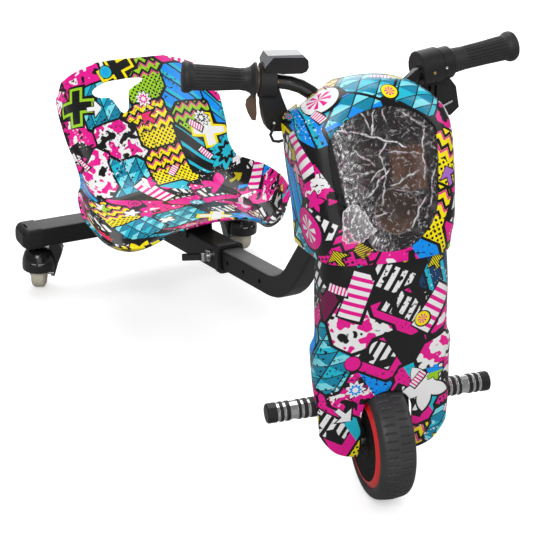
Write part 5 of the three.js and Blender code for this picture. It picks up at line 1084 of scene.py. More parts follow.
def grip_cut(radius, along, angle):
    """Grooves that run along the grip between its flange and its bulb."""
    wave = np.abs((angle / (2 * math.pi) * GROOVES) % 1 - 0.5)
    middle = soft_step(along, GROOVE_START, 4 * MM) * soft_step(-along, -GROOVE_END, 4 * MM)
    return GROOVE_DEPTH * soft_step(wave, 0.33, 0.2) * middle * soft_step(radius, GROOVE_FLOOR, 1 * MM)


for side, sign, head in (("left", -1, flare_line), ("right", 1, grip_line[:3])):
    turned_piece("grip_rubber_" + side, grip_profile(head), turned(GRIP_START * [sign, 1, 1]),
                 turned_direction(GRIP_WAY * [sign, 1, 1]), "steering", ["grip_" + side],
                 sides=GRIP_ANGLES, cut=grip_cut)

# %% [markdown]
# Small screws hold the throttle, the brake lever and its switch. Each is a turned head with a socket,
# sunk a little into the piece it holds. On the real trike they are ordinary machine screws.

# %% Screws
SCREWS = {
    "throttle_screw": ([-124.4, -286.0, 660.9], [-0.2, -0.93, 0.3], 2.6),
    "switch_screw": ([114.1, -356.0, 668.0], [-0.074, -0.997, 0.002], 2.7),
    "clamp_screw": ([136.8, -354.7, 673.0], [-0.074, -0.997, 0.002], 2.4),
    "lobe_screw": ([-128.5, -288.0, 597.0], [-0.3, -0.93, 0.2], 2.4),
}
SCREW_ANGLES = 32
SCREW_HEAD = np.array([[1, -0.7], [1, 0.15], [0.8, 0.35], [0.45, 0.36], [0.42, 0.05], [0.06, 0.05]])
for name, (place, normal, radius) in SCREWS.items():
    way = np.array(normal) / np.linalg.norm(normal)
    turned_piece(name, SCREW_HEAD * radius * MM, np.array(place) * MM, way, "steering", [],
                 sides=SCREW_ANGLES, closed_ends=True)

# %% [markdown]
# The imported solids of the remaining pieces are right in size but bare. A copy of each is merged into a
# clean mesh, its edges are rounded a little, as every cast, moulded or drawn piece has them, and its
# flat faces keep flat shading through weighted normals.

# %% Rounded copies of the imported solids
def finished_copy(node, body, edge, angle):
    """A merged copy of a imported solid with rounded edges, which stands for that solid."""
    source = frame["nodes"][node]
    mesh = source.data.copy()
    shape = bmesh.new()
    shape.from_mesh(mesh)
    bmesh.ops.remove_doubles(shape, verts=shape.verts, dist=WELD_REACH)
    bmesh.ops.dissolve_limit(shape, angle_limit=FLAT_ANGLE, verts=shape.verts, edges=shape.edges)
    bmesh.ops.recalc_face_normals(shape, faces=shape.faces)
    shape.to_mesh(mesh)
    shape.free()
    mesh.polygons.foreach_set("use_smooth", [True] * len(mesh.polygons))
    piece = bpy.data.objects.new(node + "_rounded", mesh)
    bpy.context.scene.collection.objects.link(piece)
    mesh.materials.clear()
    bevel = piece.modifiers.new("edges", "BEVEL")
    bevel.width = edge
    bevel.segments = EDGE_STEPS
    bevel.limit_method = "ANGLE"
    bevel.angle_limit = math.radians(angle)
    bevel.use_clamp_overlap = True
    weigh = piece.modifiers.new("shade", "WEIGHTED_NORMAL")
    weigh.keep_sharp = True
    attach(piece, body)
    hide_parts(node)
    return piece


slot_of = {row["node"]: row["material_slot"] for row in frame["record"]["subparts"]}
body_of = {n: b for b, members in frame["record"]["behaviour"]["bodies"].items() for n in members}
REBUILT = {
    "fairing_upper", "fairing_lower", "lens", "seat", "front_tyre", "rim_ring_left", "rim_ring_right",
    "hub_cover_left", "hub_cover_right", "grip_left", "grip_right",
}
EDGES = {
    "main_frame": 0.8, "rear_frame": 0.8, "fork": 1.0, "throttle_housing": 1.6, "brake_clamp": 1.4,
    "switch_ring": 1.0, "thumb_lever": 1.0, "clamp_lever": 1.6, "end_cap_left": 1.0, "end_cap_right": 1.0,
    "caster_hood_left": 0.9, "caster_hood_right": 0.9, "caster_wheel_left": 0.8, "caster_wheel_right": 0.8,
    "battery_pack": 1.5, "sleeve_collar": 0.8, "brake_lever": 1.2, "stem": 1.2, "stem_cap": 1.2,
}
SMOOTH_ANGLE = {
    "caster_hood_left": 38, "caster_hood_right": 38, "control_cable": 60, "handlebar": 60, "brake_rod": 60,
}
EDGE_ANGLE = 28
EDGE_STEPS = 2
EDGE_WIDTH = 0.5
WELD_REACH = 0.02 * MM
FLAT_ANGLE = math.radians(1.2)
rounded = {}
for node, body in body_of.items():
    if node in REBUILT:
        continue
    edge = EDGES.get(node, EDGE_WIDTH) * MM
    rounded[node] = finished_copy(node, body, edge, SMOOTH_ANGLE.get(node, EDGE_ANGLE))
print("rounded copies:", len(rounded))

# %% [markdown]
# Plain finishes differ more in gloss than in colour. Each one is a base colour that varies a little with
# noise in the object's own coordinates, a roughness that varies too, and a fine bump for the grain.

# %% Plain finishes
def object_place(tree):
    """The object's own coordinates, in metres."""
    return add_node(tree, "TexCoord").outputs["Object"]


def stretched(tree, vector, scale):
    """A vector scaled by its own factor along each axis."""
    return add_node(tree, "VectorMath", {0: vector, 1: scale}, operation="MULTIPLY").outputs[0]


def bump_from(tree, height, strength, distance, shader):
    """Feeds a height into the shader's normal."""
    node = add_node(tree, "Bump", {"Strength": strength, "Distance": distance, "Height": height})
    feed(tree, shader.inputs["Normal"], node.outputs["Normal"])


def finish(name, dark, light, rough, span, grain, bump, metal=0.0, coat=0.0, specular=0.5):
    """A material whose colour runs from dark to light and whose roughness swings by a span, both with
    noise of so many grains a metre. Bump is the height of the grain in millimetres."""
    gloss = {
        "Metallic": metal, "Coat Weight": coat, "Coat Roughness": 0.12, "Specular IOR Level": specular,
    }
    material = plain_material(name, (*dark, 1), rough, gloss)
    tree = material.node_tree
    shader = tree.nodes["Principled BSDF"]
    place = object_place(tree)
    broad = noise(tree, place, 24, 4.0, 0.55)
    fine = noise(tree, place, grain, 3.0, 0.6)
    tone = broad.above(0.5, 0.5)
    feed(tree, shader.inputs["Base Color"], mixed(tree, tone, (*dark, 1), (*light, 1)))
    feed(tree, shader.inputs["Roughness"], broad * span + (rough - span / 2))
    bump_from(tree, fine, 0.6, bump * MM, shader)
    return material


# dark and light colour, roughness and its span, grains a metre, grain height in mm, and other settings
FINISHES = {
    "frame_black": ((0.004, 0.004, 0.0043), (0.007, 0.007, 0.0073), 0.42, 0.12, 1800, 0.06, {}),
    "steel_bright": ((0.62, 0.63, 0.65), (0.78, 0.79, 0.8), 0.2, 0.14, 900, 0.03, {"metal": 1.0}),
    "rubber_black": ((0.018, 0.018, 0.018), (0.03, 0.03, 0.031), 0.5, 0.12, 2600, 0.08, {"specular": 0.35}),
    "tyre_black": ((0.024, 0.024, 0.025), (0.045, 0.045, 0.046), 0.46, 0.14, 1500, 0.06, {}),
    "plastic_black": (
        (0.012, 0.012, 0.0125), (0.021, 0.021, 0.0215), 0.4, 0.12, 2400, 0.06, {"specular": 0.35},
    ),
    "bar_black": ((0.006, 0.006, 0.0065), (0.01, 0.01, 0.0105), 0.2, 0.06, 1200, 0.02, {"coat": 0.3}),
    "brass": ((0.55, 0.34, 0.13), (0.7, 0.46, 0.2), 0.32, 0.1, 900, 0.02, {"metal": 1.0}),
    "cover_black": ((0.004, 0.004, 0.004), (0.007, 0.007, 0.007), 0.6, 0.1, 1800, 0.03, {"specular": 0.15}),
    "hood_black": ((0.006, 0.006, 0.0065), (0.01, 0.01, 0.011), 0.2, 0.08, 900, 0.02, {"coat": 0.4}),
    "rim_red": ((0.74, 0.008, 0.008), (0.86, 0.012, 0.012), 0.3, 0.06, 700, 0.02, {"coat": 0.3}),
    "paddle_brown": ((0.1, 0.055, 0.03), (0.16, 0.09, 0.05), 0.25, 0.08, 500, 0.02, {"coat": 0.3}),
    "caster_cream": ((0.62, 0.57, 0.44), (0.74, 0.69, 0.56), 0.42, 0.1, 1400, 0.04, {}),
    "battery_case": ((0.03, 0.033, 0.04), (0.045, 0.05, 0.06), 0.55, 0.1, 1600, 0.06, {}),
    "window_clear": ((0.16, 0.165, 0.175), (0.24, 0.245, 0.26), 0.14, 0.06, 500, 0.02, {"coat": 0.5}),
    "tray_dark": ((0.02, 0.013, 0.01), (0.05, 0.028, 0.018), 0.4, 0.12, 900, 0.04, {}),
}
finishes = {name: finish(name, *row[:-1], **row[-1]) for name, row in FINISHES.items()}

PEG_LENGTH = 85 * MM
PEG_REACH = 187.5 * MM
PEG_MIDDLE = np.array([0, 13.7, 168.5]) * MM
BAND_SHARES = np.array([[0.19, 0.24], [0.31, 0.36], [0.44, 0.59], [0.65, 0.7], [0.78, 0.83]])


def banded_alloy():
    """Black anodised pegs whose raised bands are turned bright. The bands are told by how far in from
    the peg's outer end a place lies, measured along the wheel's axle."""
    material = plain_material("alloy_dark", (0.012, 0.012, 0.013, 1), 0.4)
    tree = material.node_tree
    shader = tree.nodes["Principled BSDF"]
    place = object_place(tree)
    shift = add_node(tree, "VectorMath", {0: place, 1: tuple(turned(PEG_MIDDLE))}, operation="SUBTRACT")
    inputs = {0: shift.outputs[0], 1: tuple(WHEEL_LINE)}
    across = add_node(tree, "VectorMath", inputs, operation="DOT_PRODUCT")
    in_from_end = -Signal(tree, across.outputs["Value"]).size() + PEG_REACH
    mask = None
    for start, stop in BAND_SHARES * PEG_LENGTH:
        band = in_from_end.above(start, 0.5 * MM).least(in_from_end.below(stop, 0.5 * MM))
        mask = band if mask is None else mask.most(band)
    lines = noise(tree, place, 900, 2.0, 0.5)
    feed(tree, shader.inputs["Base Color"], mixed(tree, mask, (0.01, 0.01, 0.011, 1), (0.72, 0.72, 0.73, 1)))
    feed(tree, shader.inputs["Metallic"], mask)
    feed(tree, shader.inputs["Roughness"], mask * -0.18 + 0.42)
    bump_from(tree, lines, 0.4, 0.03 * MM, shader)
    return material


finishes["alloy_dark"] = banded_alloy()
for name, material in finishes.items():
    print("finish", name, len(material.node_tree.nodes), "nodes")

# %% [markdown]
# The print is loud pop art: slanted blocks of hot pink, yellow, cyan and blue with fat black outlines,
# white bars, targets, bursts and halftone dots. On the real shells it is a film that is dipped on. Here it
# is arithmetic on the print map, which is measured in metres, so a motif keeps its size everywhere.

# %% Print colours and cells
PINK = (0.87, 0.007, 0.305, 1)
CYAN = (0.013, 0.515, 0.68, 1)
DEEP_CYAN = (0.004, 0.26, 0.42, 1)
PALE_CYAN = (0.22, 0.78, 0.88, 1)
BLUE = (0.0, 0.305, 0.956, 1)
YELLOW = (1.0, 0.83, 0.0, 1)
LIME = (0.352, 0.68, 0.013, 1)
RED = (0.87, 0.032, 0.013, 1)
WHITE = (0.93, 0.93, 0.93, 1)
BLACK = (0.008, 0.008, 0.009, 1)
WHOLE_TURN = 6.283
EDGE_SOFT = 0.0004
CHOICE_SOFT = 0.001


class Cells:
    """Random cells over the print: each has random numbers, a distance field and its own coordinates."""

    def __init__(self, tree, vector, size, metric, scatter):
        inputs = {"Scale": 1 / size, "Randomness": scatter, "Vector": vector}
        near, far = [
            add_node(tree, "TexVoronoi", inputs, voronoi_dimensions="2D", feature=feature, distance=metric)
            for feature in ("F1", "F2")
        ]
        split = add_node(tree, "SeparateColor", {0: near.outputs["Color"]})
        self.red, self.green, self.blue = [Signal(tree, split.outputs[k]) for k in range(3)]
        gap = Signal(tree, far.outputs["Distance"]) - Signal(tree, near.outputs["Distance"])
        self.edge = gap * size
        own = add_node(tree, "VectorMath", {0: vector, 1: near.outputs["Position"]}, operation="SUBTRACT")
        self.x, self.y = split_place(tree, own.outputs[0])

    def turned(self):
        """The cell's coordinates, turned by its own random angle."""
        angle = self.blue * WHOLE_TURN
        cosine, sine = angle.apply("COSINE"), angle.apply("SINE")
        return self.x * cosine + self.y * sine, self.y * cosine - self.x * sine


def rotated(tree, vector, degrees, shift):
    """The print map turned by an angle and moved along."""
    inputs = {"Rotation": (0, 0, math.radians(degrees)), "Location": shift, "Vector": vector}
    return add_node(tree, "Mapping", inputs).outputs[0]


def split_place(tree, vector):
    """The two coordinates of a vector as signals."""
    node = add_node(tree, "SeparateXYZ", {0: vector})
    return Signal(tree, node.outputs[0]), Signal(tree, node.outputs[1])


def print_spot(tree):
    """A place on the print map, in metres."""
    return add_node(tree, "UVMap", uv_map="print").outputs[0]


def picked(tree, value, choices):
    """One of several colours by a random number: each choice holds from its lower bound on."""
    colour = choices[0][1]
    for bound, over in choices[1:]:
        colour = mixed(tree, value.above(bound, CHOICE_SOFT), colour, over)
    return colour


def polar(x, y):
    """Distance from the middle and the turn as a share of a whole circle."""
    return (x * x + y * y).apply("SQRT"), y.apply("ARCTAN2", x) / WHOLE_TURN + 0.5


def waves(value, pitch):
    """0 at the middle of every stripe and 0.5 at its edge, for stripes of a pitch in metres."""
    return ((value / pitch).apply("FRACT") - 0.5).size()


def burst(x, y, size, points, depth):
    """How far inside a burst with so many points a place lies, in metres."""
    reach, turn = polar(x, y)
    tooth = ((turn * points).apply("FRACT") - 0.5).size() * 2
    return (tooth * -depth + 1.0) * size - reach


def shape_box(x, y, half_x, half_y):
    """How far inside a box a place lies."""
    return (-(x.size() - half_x)).least(-(y.size() - half_y))


def shape_arrow(x, y, size):
    """How far inside an arrow a place lies: a shaft below and a head above."""
    shaft = shape_box(x, y + size * 0.4, size * 0.26, size * 0.6)
    head = (-(x.size()) * 0.9 + (-(y - size))).least(y) * 0.75
    return shaft.most(head)


def layered(tree, under, inside_by, fill, outline, present):
    """A shape over a colour: its fill where it is inside, and a black outline round it."""
    wide = (inside_by + outline).above(0, EDGE_SOFT) * present
    core = inside_by.above(0, EDGE_SOFT) * present
    return mixed(tree, core, mixed(tree, wide, under, BLACK), fill)


print("print tools ready")

# %% [markdown]
# The artwork is stacked in layers, as an illustrator would draw it. Slanted blocks are the ground, and
# each has a filling: bars on black, chevrons, triangles or splashes. Flecks of paint come next. Bursts,
# stars, targets, arrows, crosses and striped strips sit on top, and small ones fill the gaps.

# %% Print layers
# each colour holds from its bound on, up to the next
CORNERS = [(0, BLACK), (0.42, BLUE), (0.62, CYAN), (0.8, YELLOW)]
FILLS = [(0, YELLOW), (0.2, WHITE), (0.42, PINK), (0.66, CYAN), (0.84, LIME), (0.93, RED)]
SECONDS = [(0, BLACK), (0.3, WHITE), (0.5, BLUE), (0.72, PINK)]
BLOCK = 0.07
MOTIF = 0.09
SMALL = 0.034
PRINT_SHRINK = 0.82
GROUND = [(0, PINK), (0.46, YELLOW), (0.58, CYAN), (0.68, BLUE), (0.78, BLACK), (0.9, WHITE), (0.96, LIME)]


def between(value, low, high):
    """1 where a value lies between two bounds."""
    return value.above(low, CHOICE_SOFT).least(value.below(high, CHOICE_SOFT))


def block_layer(tree, vector):
    """The slanted blocks and what fills them, as a list of masks and paints that go on in turn."""
    slant = rotated(tree, vector, 28, (0.31, 0.17, 0))
    cells = Cells(tree, slant, BLOCK, "CHEBYCHEV", 0.72)
    u, v = split_place(tree, slant)
    kind = cells.red
    # bars on a black plate
    plate = between(kind, -0.1, 0.3).most(between(kind, 0.8, 0.89))
    on_plate = shape_box(cells.x, cells.y, 0.029, 0.0185)
    gaps = noise(tree, slant, 58, 0.0, 0.5).above(0.43, 0.01)
    bars = waves(u, 0.0118).below(0.29, 0.02) * gaps * on_plate.above(0.0022, EDGE_SOFT)
    paints = [(on_plate.above(0, EDGE_SOFT) * plate, BLACK), (bars * plate, WHITE)]
    # splashes on plain pink and on white
    blob = noise(tree, slant, 40, 2.0, 0.5)
    splash = between(kind, 0.3, 0.44)
    pale = between(kind, 0.89, 0.96)
    paints += [
        (blob.above(0.57, 0.012) * splash, BLACK), (blob.below(0.4, 0.012) * splash, WHITE),
        (blob.above(0.53, 0.012) * pale, PINK), (blob.below(0.41, 0.012) * pale, BLACK),
    ]
    # chevrons and dots on yellow and lime
    warm = between(kind, 0.44, 0.58).most(kind.above(0.96, CHOICE_SOFT))
    zigzag = v + (u / 0.017).apply("PINGPONG", 0.5) * 0.017
    upper = cells.y.above(-0.004, EDGE_SOFT)
    dots_x, dots_y = waves(u + v, 0.0088), waves(u - v, 0.0088)
    dots = (dots_x * dots_x + dots_y * dots_y).apply("SQRT").below(0.3, 0.05)
    lower = upper.apply("LESS_THAN", 0.5)
    paints += [
        (waves(zigzag, 0.0165).below(0.17, 0.02) * warm * upper, BLACK),
        (waves(zigzag + 0.0046, 0.0165).below(0.09, 0.02) * warm * upper, PINK),
        (dots * warm * lower, BLACK),
    ]
    # triangles on cyan and slanted bands on blue
    cool = between(kind, 0.58, 0.7)
    across, along = (u / 0.024).apply("FRACT"), (v / 0.024).apply("FRACT")
    leaning = (across - along).above(0, 0.02)
    parity = ((u / 0.048).apply("FRACT") - (v / 0.048).apply("FRACT")).size().below(0.3, 0.01)
    seam = (across - along).size().below(0.035, 0.02).most(waves(u + 0.012, 0.024).below(0.035, 0.02))
    deep = between(kind, 0.7, 0.8)
    paints += [
        (leaning * cool, DEEP_CYAN),
        (parity * leaning.below(0.5, 0.1) * cool, PALE_CYAN),
        (seam * cool, BLACK),
        (waves(u + v, 0.034).below(0.13, 0.02) * deep, CYAN),
        (waves(u + v + 0.007, 0.034).below(0.06, 0.02) * deep, BLACK),
    ]
    # a second colour over one corner of the plain and plated blocks, and the black lines between blocks
    corner = (cells.x * 0.6 + cells.y).above(0.021, EDGE_SOFT) * kind.below(0.44, CHOICE_SOFT)
    paints += [(corner, picked(tree, cells.green, CORNERS)), (cells.edge.below(0.0037, EDGE_SOFT), BLACK)]
    colour = picked(tree, kind, GROUND)
    for mask, paint in paints:
        colour = mixed(tree, mask, colour, paint)
    return colour


def motif_layer(tree, vector, under, size, shift, outline, chance):
    """Large loose shapes. Each cell draws one shape, turned by its own angle. The outline is thicker to
    one side, as if the shape threw a shadow."""
    moved = rotated(tree, vector, -16, shift)
    cells = Cells(tree, moved, size, "EUCLIDEAN", 0.55)
    x, y = cells.turned()
    reach, turn = polar(x, y)
    kind = cells.red
    fill = picked(tree, cells.green, FILLS)
    second = picked(tree, (cells.green * 7.31).apply("FRACT"), SECONDS)
    stripes = waves(x + y * 0.3, size * 0.085).below(0.25, 0.04)
    wedges = ((turn * 8).apply("FRACT") - 0.5).above(0, 0.01)
    inner_burst = burst(x, y, size * 0.27, 9, 0.4)
    core = burst(x, y, size * 0.14, 9, 0.3)
    cross = shape_box(x, y, size * 0.36, size * 0.13).most(shape_box(x, y, size * 0.13, size * 0.36))
    ringed = mixed(tree, inner_burst.above(0, EDGE_SOFT), fill, second)
    strip = mixed(tree, waves(x, size * 0.13).below(0.27, 0.03), PINK, WHITE)
    shapes = (
        (-0.1, 0.2, burst(x, y, size * 0.42, 9, 0.42), mixed(tree, core.above(0, EDGE_SOFT), ringed, fill)),
        (0.2, 0.38, burst(x, y, size * 0.42, 5, 0.56), mixed(tree, y.above(0, EDGE_SOFT), fill, second)),
        (0.38, 0.52, -(reach - size * 0.3),
         mixed(tree, reach.below(size * 0.2, EDGE_SOFT) * wedges, fill, second)),
        (0.52, 0.66, shape_arrow(x, y, size * 0.38), mixed(tree, stripes, fill, second)),
        (0.66, 0.8, cross, mixed(tree, (cross - size * 0.05).above(0, EDGE_SOFT), fill, second)),
        (0.8, 1.1, shape_box(x, y, size * 0.36, size * 0.16), strip),
    )
    present = (cells.blue * 5.17).apply("FRACT").below(chance, CHOICE_SOFT)
    shadow = (cells.x - cells.y) * 0.05 + outline
    colour = under
    for low, high, inside_by, paint in shapes:
        colour = layered(tree, colour, inside_by, paint, shadow, between(kind, low, high) * present)
    return colour


def fleck_layer(tree, vector, under):
    """Small splashes of black and white paint in patches."""
    patch = noise(tree, vector, 9, 1.0, 0.5).above(0.56, 0.02)
    fine = noise(tree, vector, 190, 2.0, 0.6)
    colour = mixed(tree, fine.above(0.6, 0.02) * patch, under, BLACK)
    other = noise(tree, rotated(tree, vector, 0, (0.7, 0.2, 0)), 12, 1.0, 0.5).above(0.61, 0.02)
    return mixed(tree, fine.below(0.37, 0.02) * other, colour, WHITE)


def print_group():
    """The whole artwork as one node group, from a place on the print to a colour."""
    group = bpy.data.node_groups.new("pop_print", "ShaderNodeTree")
    group.interface.new_socket("Place", in_out="INPUT", socket_type="NodeSocketVector")
    group.interface.new_socket("Color", in_out="OUTPUT", socket_type="NodeSocketColor")
    start = group.nodes.new("NodeGroupInput")
    end = group.nodes.new("NodeGroupOutput")
    vector = stretched(group, start.outputs["Place"], (PRINT_SHRINK, PRINT_SHRINK, 1))
    colour = block_layer(group, vector)
    colour = fleck_layer(group, vector, colour)
    colour = motif_layer(group, vector, colour, MOTIF, (0.12, 0.53, 0), 0.0032, 0.6)
    colour = motif_layer(group, vector, colour, SMALL, (0.41, 0.29, 0), 0.0017, 0.18)
    group.links.new(colour, end.inputs["Color"])
    return group


def printed(name, group, shift, degrees):
    """Glossy printed shell: the artwork at its own place on this piece, under a clear coat."""
    gloss = {"Specular IOR Level": 0.3, "Coat Weight": 0.18, "Coat Roughness": 0.1}
    material = plain_material(name, PINK, 0.26, gloss)
    tree = material.node_tree
    shader = tree.nodes["Principled BSDF"]
    place = print_spot(tree)
    art = tree.nodes.new("ShaderNodeGroup")
    art.node_tree = group
    feed(tree, art.inputs["Place"], rotated(tree, place, degrees, shift))
    feed(tree, shader.inputs["Base Color"], art.outputs["Color"])
    feed(tree, shader.inputs["Roughness"], noise(tree, place, 30, 3.0, 0.5) * 0.1 + 0.21)
    return material


art_group = print_group()
upper_shell.data.materials.append(printed("print_upper", art_group, (1.37, 0.81, 0), 0))
lower_shell.data.materials.append(printed("print_lower", art_group, (2.18, 1.93, 0), 0))
seat_shell.data.materials.append(printed("print_seat", art_group, (3.55, 2.62, 0), -35))
print("print group", len(art_group.nodes), "nodes")

# %% [markdown]
# The smoked lens is black at its left, and the brown bowls of the lamp show behind its middle and right.
# The film over it is nearly clear. It lies in long folds and is bunched up down its left side, and the light
# that these catch is painted: white highlight marks, opaque along the folds and on crumpled patches at the
# left. The folds are drawn as bent lines between pairs of places.

# %% Lens and film finishes
# painted highlight lines along the film's folds: start x and y, end x and y in mm on the print map, brightness
FOLD_HIGHLIGHT_LINES = np.array([
    [-86, 197, -40, 182, 0.9], [-40, 182, 5, 168, 0.8], [5, 168, 30, 156, 0.9], [1, 167, -9, 149, 0.7],
    [-9, 149, -5, 113, 0.6], [-5, 113, -12, 77, 0.5], [0, 125, -33, 90, 0.9], [-28, 112, -2, 137, 0.6],
    [64, 181, 60, 151, 0.7], [60, 151, 59, 106, 0.6], [55, 79, 42, 56, 0.8], [42, 56, 30, 35, 0.6],
    [-14, 214, -21, 180, 0.8], [0, 215, 3, 197, 0.6], [-32, 211, -24, 188, 0.7], [4, 150, 57, 146, 0.4],
    [3, 101, 49, 120, 0.5], [4, 95, 51, 87, 0.35], [-29, 58, -5, 63, 0.6], [-51, 158, -21, 134, 0.5],
    [-57, 123, -22, 124, 0.45], [27, 211, 68, 182, 0.4], [76, 118, 65, 66, 0.5],
])
# half width of a painted fold highlight, and the length over which it fades in at each end
FOLD_HIGHLIGHT_HALF = 1.0 * MM
FOLD_HIGHLIGHT_END = 6 * MM
FILM_TOP = 188 * MM
FILM_KNEE = 80 * MM
FILM_LEFT = 83.4 * MM
FILM_LEAN = 0.136
KNEE_LEAN = 0.38


def film_start(x, y):
    """How far a place lies to the right of the film's left edge, which leans in towards the bottom and
    leans more below a knee."""
    lower = (-y + FILM_KNEE).apply("MAXIMUM", 0.0)
    return x - ((-y + FILM_TOP) * FILM_LEAN + lower * KNEE_LEAN - FILM_LEFT)


def smoked_lens():
    """Dark brown gloss with two lighter bowls, drawn on the print map."""
    material = plain_material("lens_smoke", (0.012, 0.009, 0.008, 1), 0.16, {"Specular IOR Level": 0.25})
    tree = material.node_tree
    place = print_spot(tree)
    x, y = split_place(tree, place)
    soft = noise(tree, place, 22, 3.0, 0.5)
    wobble = (soft - 0.5) * 0.012
    box = shape_box(x - 0.034 + wobble, y - 0.128 + wobble, 0.029, 0.034)
    bowl_reach, _ = polar((x - 0.008) + wobble, (y - 0.066) + wobble)
    left_reach, _ = polar(x + 0.03 + wobble, (y - 0.135) * 0.8)
    box_tone = mixed(tree, soft.above(0.5, 0.3), (0.052, 0.023, 0.012, 1), (0.11, 0.052, 0.03, 1))
    bowl_tone = mixed(tree, (y - 0.05).above(0, 0.03), (0.085, 0.04, 0.022, 1), (0.03, 0.015, 0.01, 1))
    brown = (0.01, 0.008, 0.008, 1)
    for mask, tone in (
        (left_reach.below(0.026, 0.012) * 0.7, (0.03, 0.019, 0.015, 1)),
        (box.above(0, 0.006), box_tone),
        (bowl_reach.below(0.034, 0.003), bowl_tone),
        ((bowl_reach - 0.0345).size().below(0.0012, 0.001), (0.13, 0.1, 0.09, 1)),
        (film_start(x, y).below(0.0, 0.002), (0.005, 0.005, 0.005, 1)),
    ):
        brown = mixed(tree, mask, brown, tone)
    feed(tree, tree.nodes["Principled BSDF"].inputs["Base Color"], brown)
    return material


def fold_highlight_mask(tree, vector):
    """Painted highlight, bright where a place lies on one of the folds. Each fold is a line between two places:
    the mapping moves its start to zero and turns it level, so that x runs along it and y is the distance from it."""
    mask = None
    for x_0, y_0, x_1, y_1, strength in FOLD_HIGHLIGHT_LINES * np.array([MM, MM, MM, MM, 1]):
        length = math.hypot(x_1 - x_0, y_1 - y_0)
        turn = (0, 0, math.atan2(y_1 - y_0, x_1 - x_0))
        inputs = {"Location": (x_0, y_0, 0), "Rotation": turn, "Vector": vector}
        node = add_node(tree, "Mapping", inputs, vector_type="TEXTURE")
        along, off = split_place(tree, node.outputs[0])
        inner = along.above(0, FOLD_HIGHLIGHT_END) * along.below(length, FOLD_HIGHLIGHT_END)
        line = off.size().below(FOLD_HIGHLIGHT_HALF, 1.4 * FOLD_HIGHLIGHT_HALF) * inner * strength
        mask = line if mask is None else mask.most(line)
    return mask


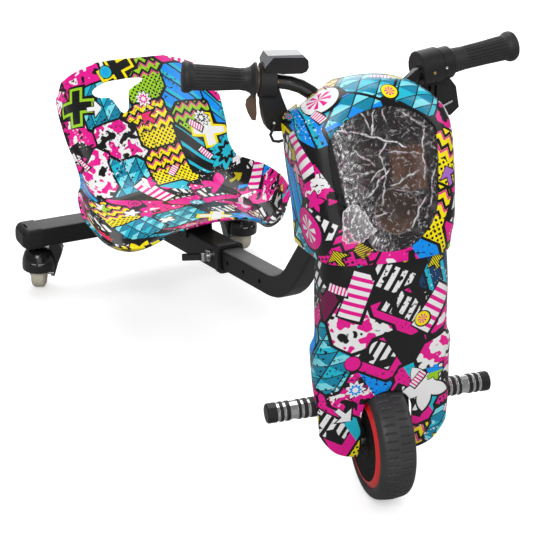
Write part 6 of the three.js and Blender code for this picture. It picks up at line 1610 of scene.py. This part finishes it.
def film_with_painted_highlights(name, flap=False):
    """Nearly clear film with painted highlights: long folds, fine lines and crumpled patches to the left."""
    # The near-white colour is the colour of the painted highlights; the alpha keeps the film clear elsewhere.
    material = plain_material(name, (0.9, 0.88, 0.9, 1), 0.16, {"Specular IOR Level": 0.4})
    tree = material.node_tree
    shader = tree.nodes["Principled BSDF"]
    place = print_spot(tree)
    x, y = split_place(tree, place)
    bend = add_node(tree, "TexNoise", {"Scale": 45, "Detail": 2.0, "Vector": place})
    inputs = {0: bend.outputs["Color"], 1: (0.014, 0.014, 0), 2: place}
    warp = add_node(tree, "VectorMath", inputs, operation="MULTIPLY_ADD")
    centred = rotated(tree, warp.outputs[0], 0, (-0.007, -0.007, 0))
    broken = noise(tree, place, 130, 2.0, 0.6)
    start = film_start(x, y)
    # The brightest painted highlights, those of the crumpled film, lie in a band right of the film's left edge.
    bunched = start.above(0.002, 0.004) * start.below(0.026, 0.03)
    crumple_way = stretched(tree, rotated(tree, centred, 20, (0.7, 0, 0)), (240, 130, 1))
    crumple = noise(tree, crumple_way, 1.0, 3.0, 0.6)
    if flap:
        # The flap shows as painted crumple highlights inside its torn outline, with a painted bright highlight
        # line along its edge.
        middle, _ = polar((x + 0.058) * 1.3, (y - 0.047))
        torn = (noise(tree, place, 36, 2.0, 0.6) - 0.5) * 0.05
        whole = (middle + torn).below(0.029, 0.0015)
        edge = (middle + torn - 0.028).size().below(0.001, 0.001)
        painted_highlight_alpha = ((crumple.above(0.57, 0.06) * 0.8 + 0.13) * whole).most(edge * 0.7)
    else:
        # Painted highlights along the folds, along fine lines in three directions and on the crumpled patches,
        # over a faint patchy veil and a very faint even film.
        folds = fold_highlight_mask(tree, centred) * broken.above(0.44, 0.3)
        fine_highlight_lines = None
        for degrees, sharp in ((24, 0.93), (-38, 0.94), (80, 0.945)):
            way = rotated(tree, centred, degrees, (0.31, 0.3, 0))
            run = noise(tree, stretched(tree, way, (60, 14, 1)), 1.0, 2.0, 0.5)
            line = ((run - 0.5).size() * -5.0 + 1.0).above(sharp, 0.05)
            fine_highlight_lines = line if fine_highlight_lines is None else fine_highlight_lines.most(line)
        fine_highlight_lines = fine_highlight_lines * broken.above(0.55, 0.16) * 0.2
        crumple_highlights = (crumple.above(0.59, 0.05) * 0.95 + crumple.above(0.48, 0.08) * 0.16) * bunched
        veil = noise(tree, place, 26, 3.0, 0.6).above(0.62, 0.2) * 0.05
        painted_highlight_alpha = (folds.most(fine_highlight_lines).most(crumple_highlights) + veil + 0.012) * start.above(0.0, 0.002)
    # The painted highlights turn pink in patches.
    tint = noise(tree, place, 60, 1.0, 0.5).above(0.58, 0.06)
    tone = mixed(tree, tint * 0.5, (0.92, 0.9, 0.92, 1), (0.72, 0.45, 0.6, 1))
    feed(tree, shader.inputs["Base Color"], tone)
    feed(tree, shader.inputs["Alpha"], painted_highlight_alpha.apply("MINIMUM", 0.97))
    return material


lens_cover.data.materials.append(smoked_lens())
film.data.materials.append(film_with_painted_highlights("film_painted_highlights"))
film_flap.data.materials.append(film_with_painted_highlights("film_flap", True))
print("lens and film done")

# %% [markdown]
# Last, every other piece takes the finish of its slot in the record, except for a few that are glossier
# or darker up close than their slot says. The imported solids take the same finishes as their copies.

# %% Give each piece its finish
SPECIAL = {
    "handlebar": "bar_black",
    "caster_hood_left": "hood_black", "caster_hood_right": "hood_black", "lamp_tray": "tray_dark",
    "hub_motor": "plastic_black", "gauge_window": "window_clear",
}


def finish_of(node):
    """The finish that a node takes: its own, or that of its slot."""
    return finishes.get(SPECIAL.get(node, slot_of[node]), finishes["plastic_black"])


for node, piece in rounded.items():
    piece.data.materials.clear()
    piece.data.materials.append(finish_of(node))
for node, solid in frame["nodes"].items():
    solid.data.materials.clear()
    solid.data.materials.append(finish_of(node))
turned_finish = {"tyre": "tyre_black"}
for side in ("left", "right"):
    turned_finish["rim_band_" + side] = "rim_red"
    turned_finish["wheel_cover_" + side] = "cover_black"
    turned_finish["grip_rubber_" + side] = "rubber_black"
for name in SCREWS:
    turned_finish[name] = "brass" if name in ("throttle_screw", "switch_screw") else "steel_bright"
for name, finish_name in turned_finish.items():
    bpy.data.objects[name].data.materials.append(finishes[finish_name])
print("finished pieces:", len(rounded) + len(turned_finish))
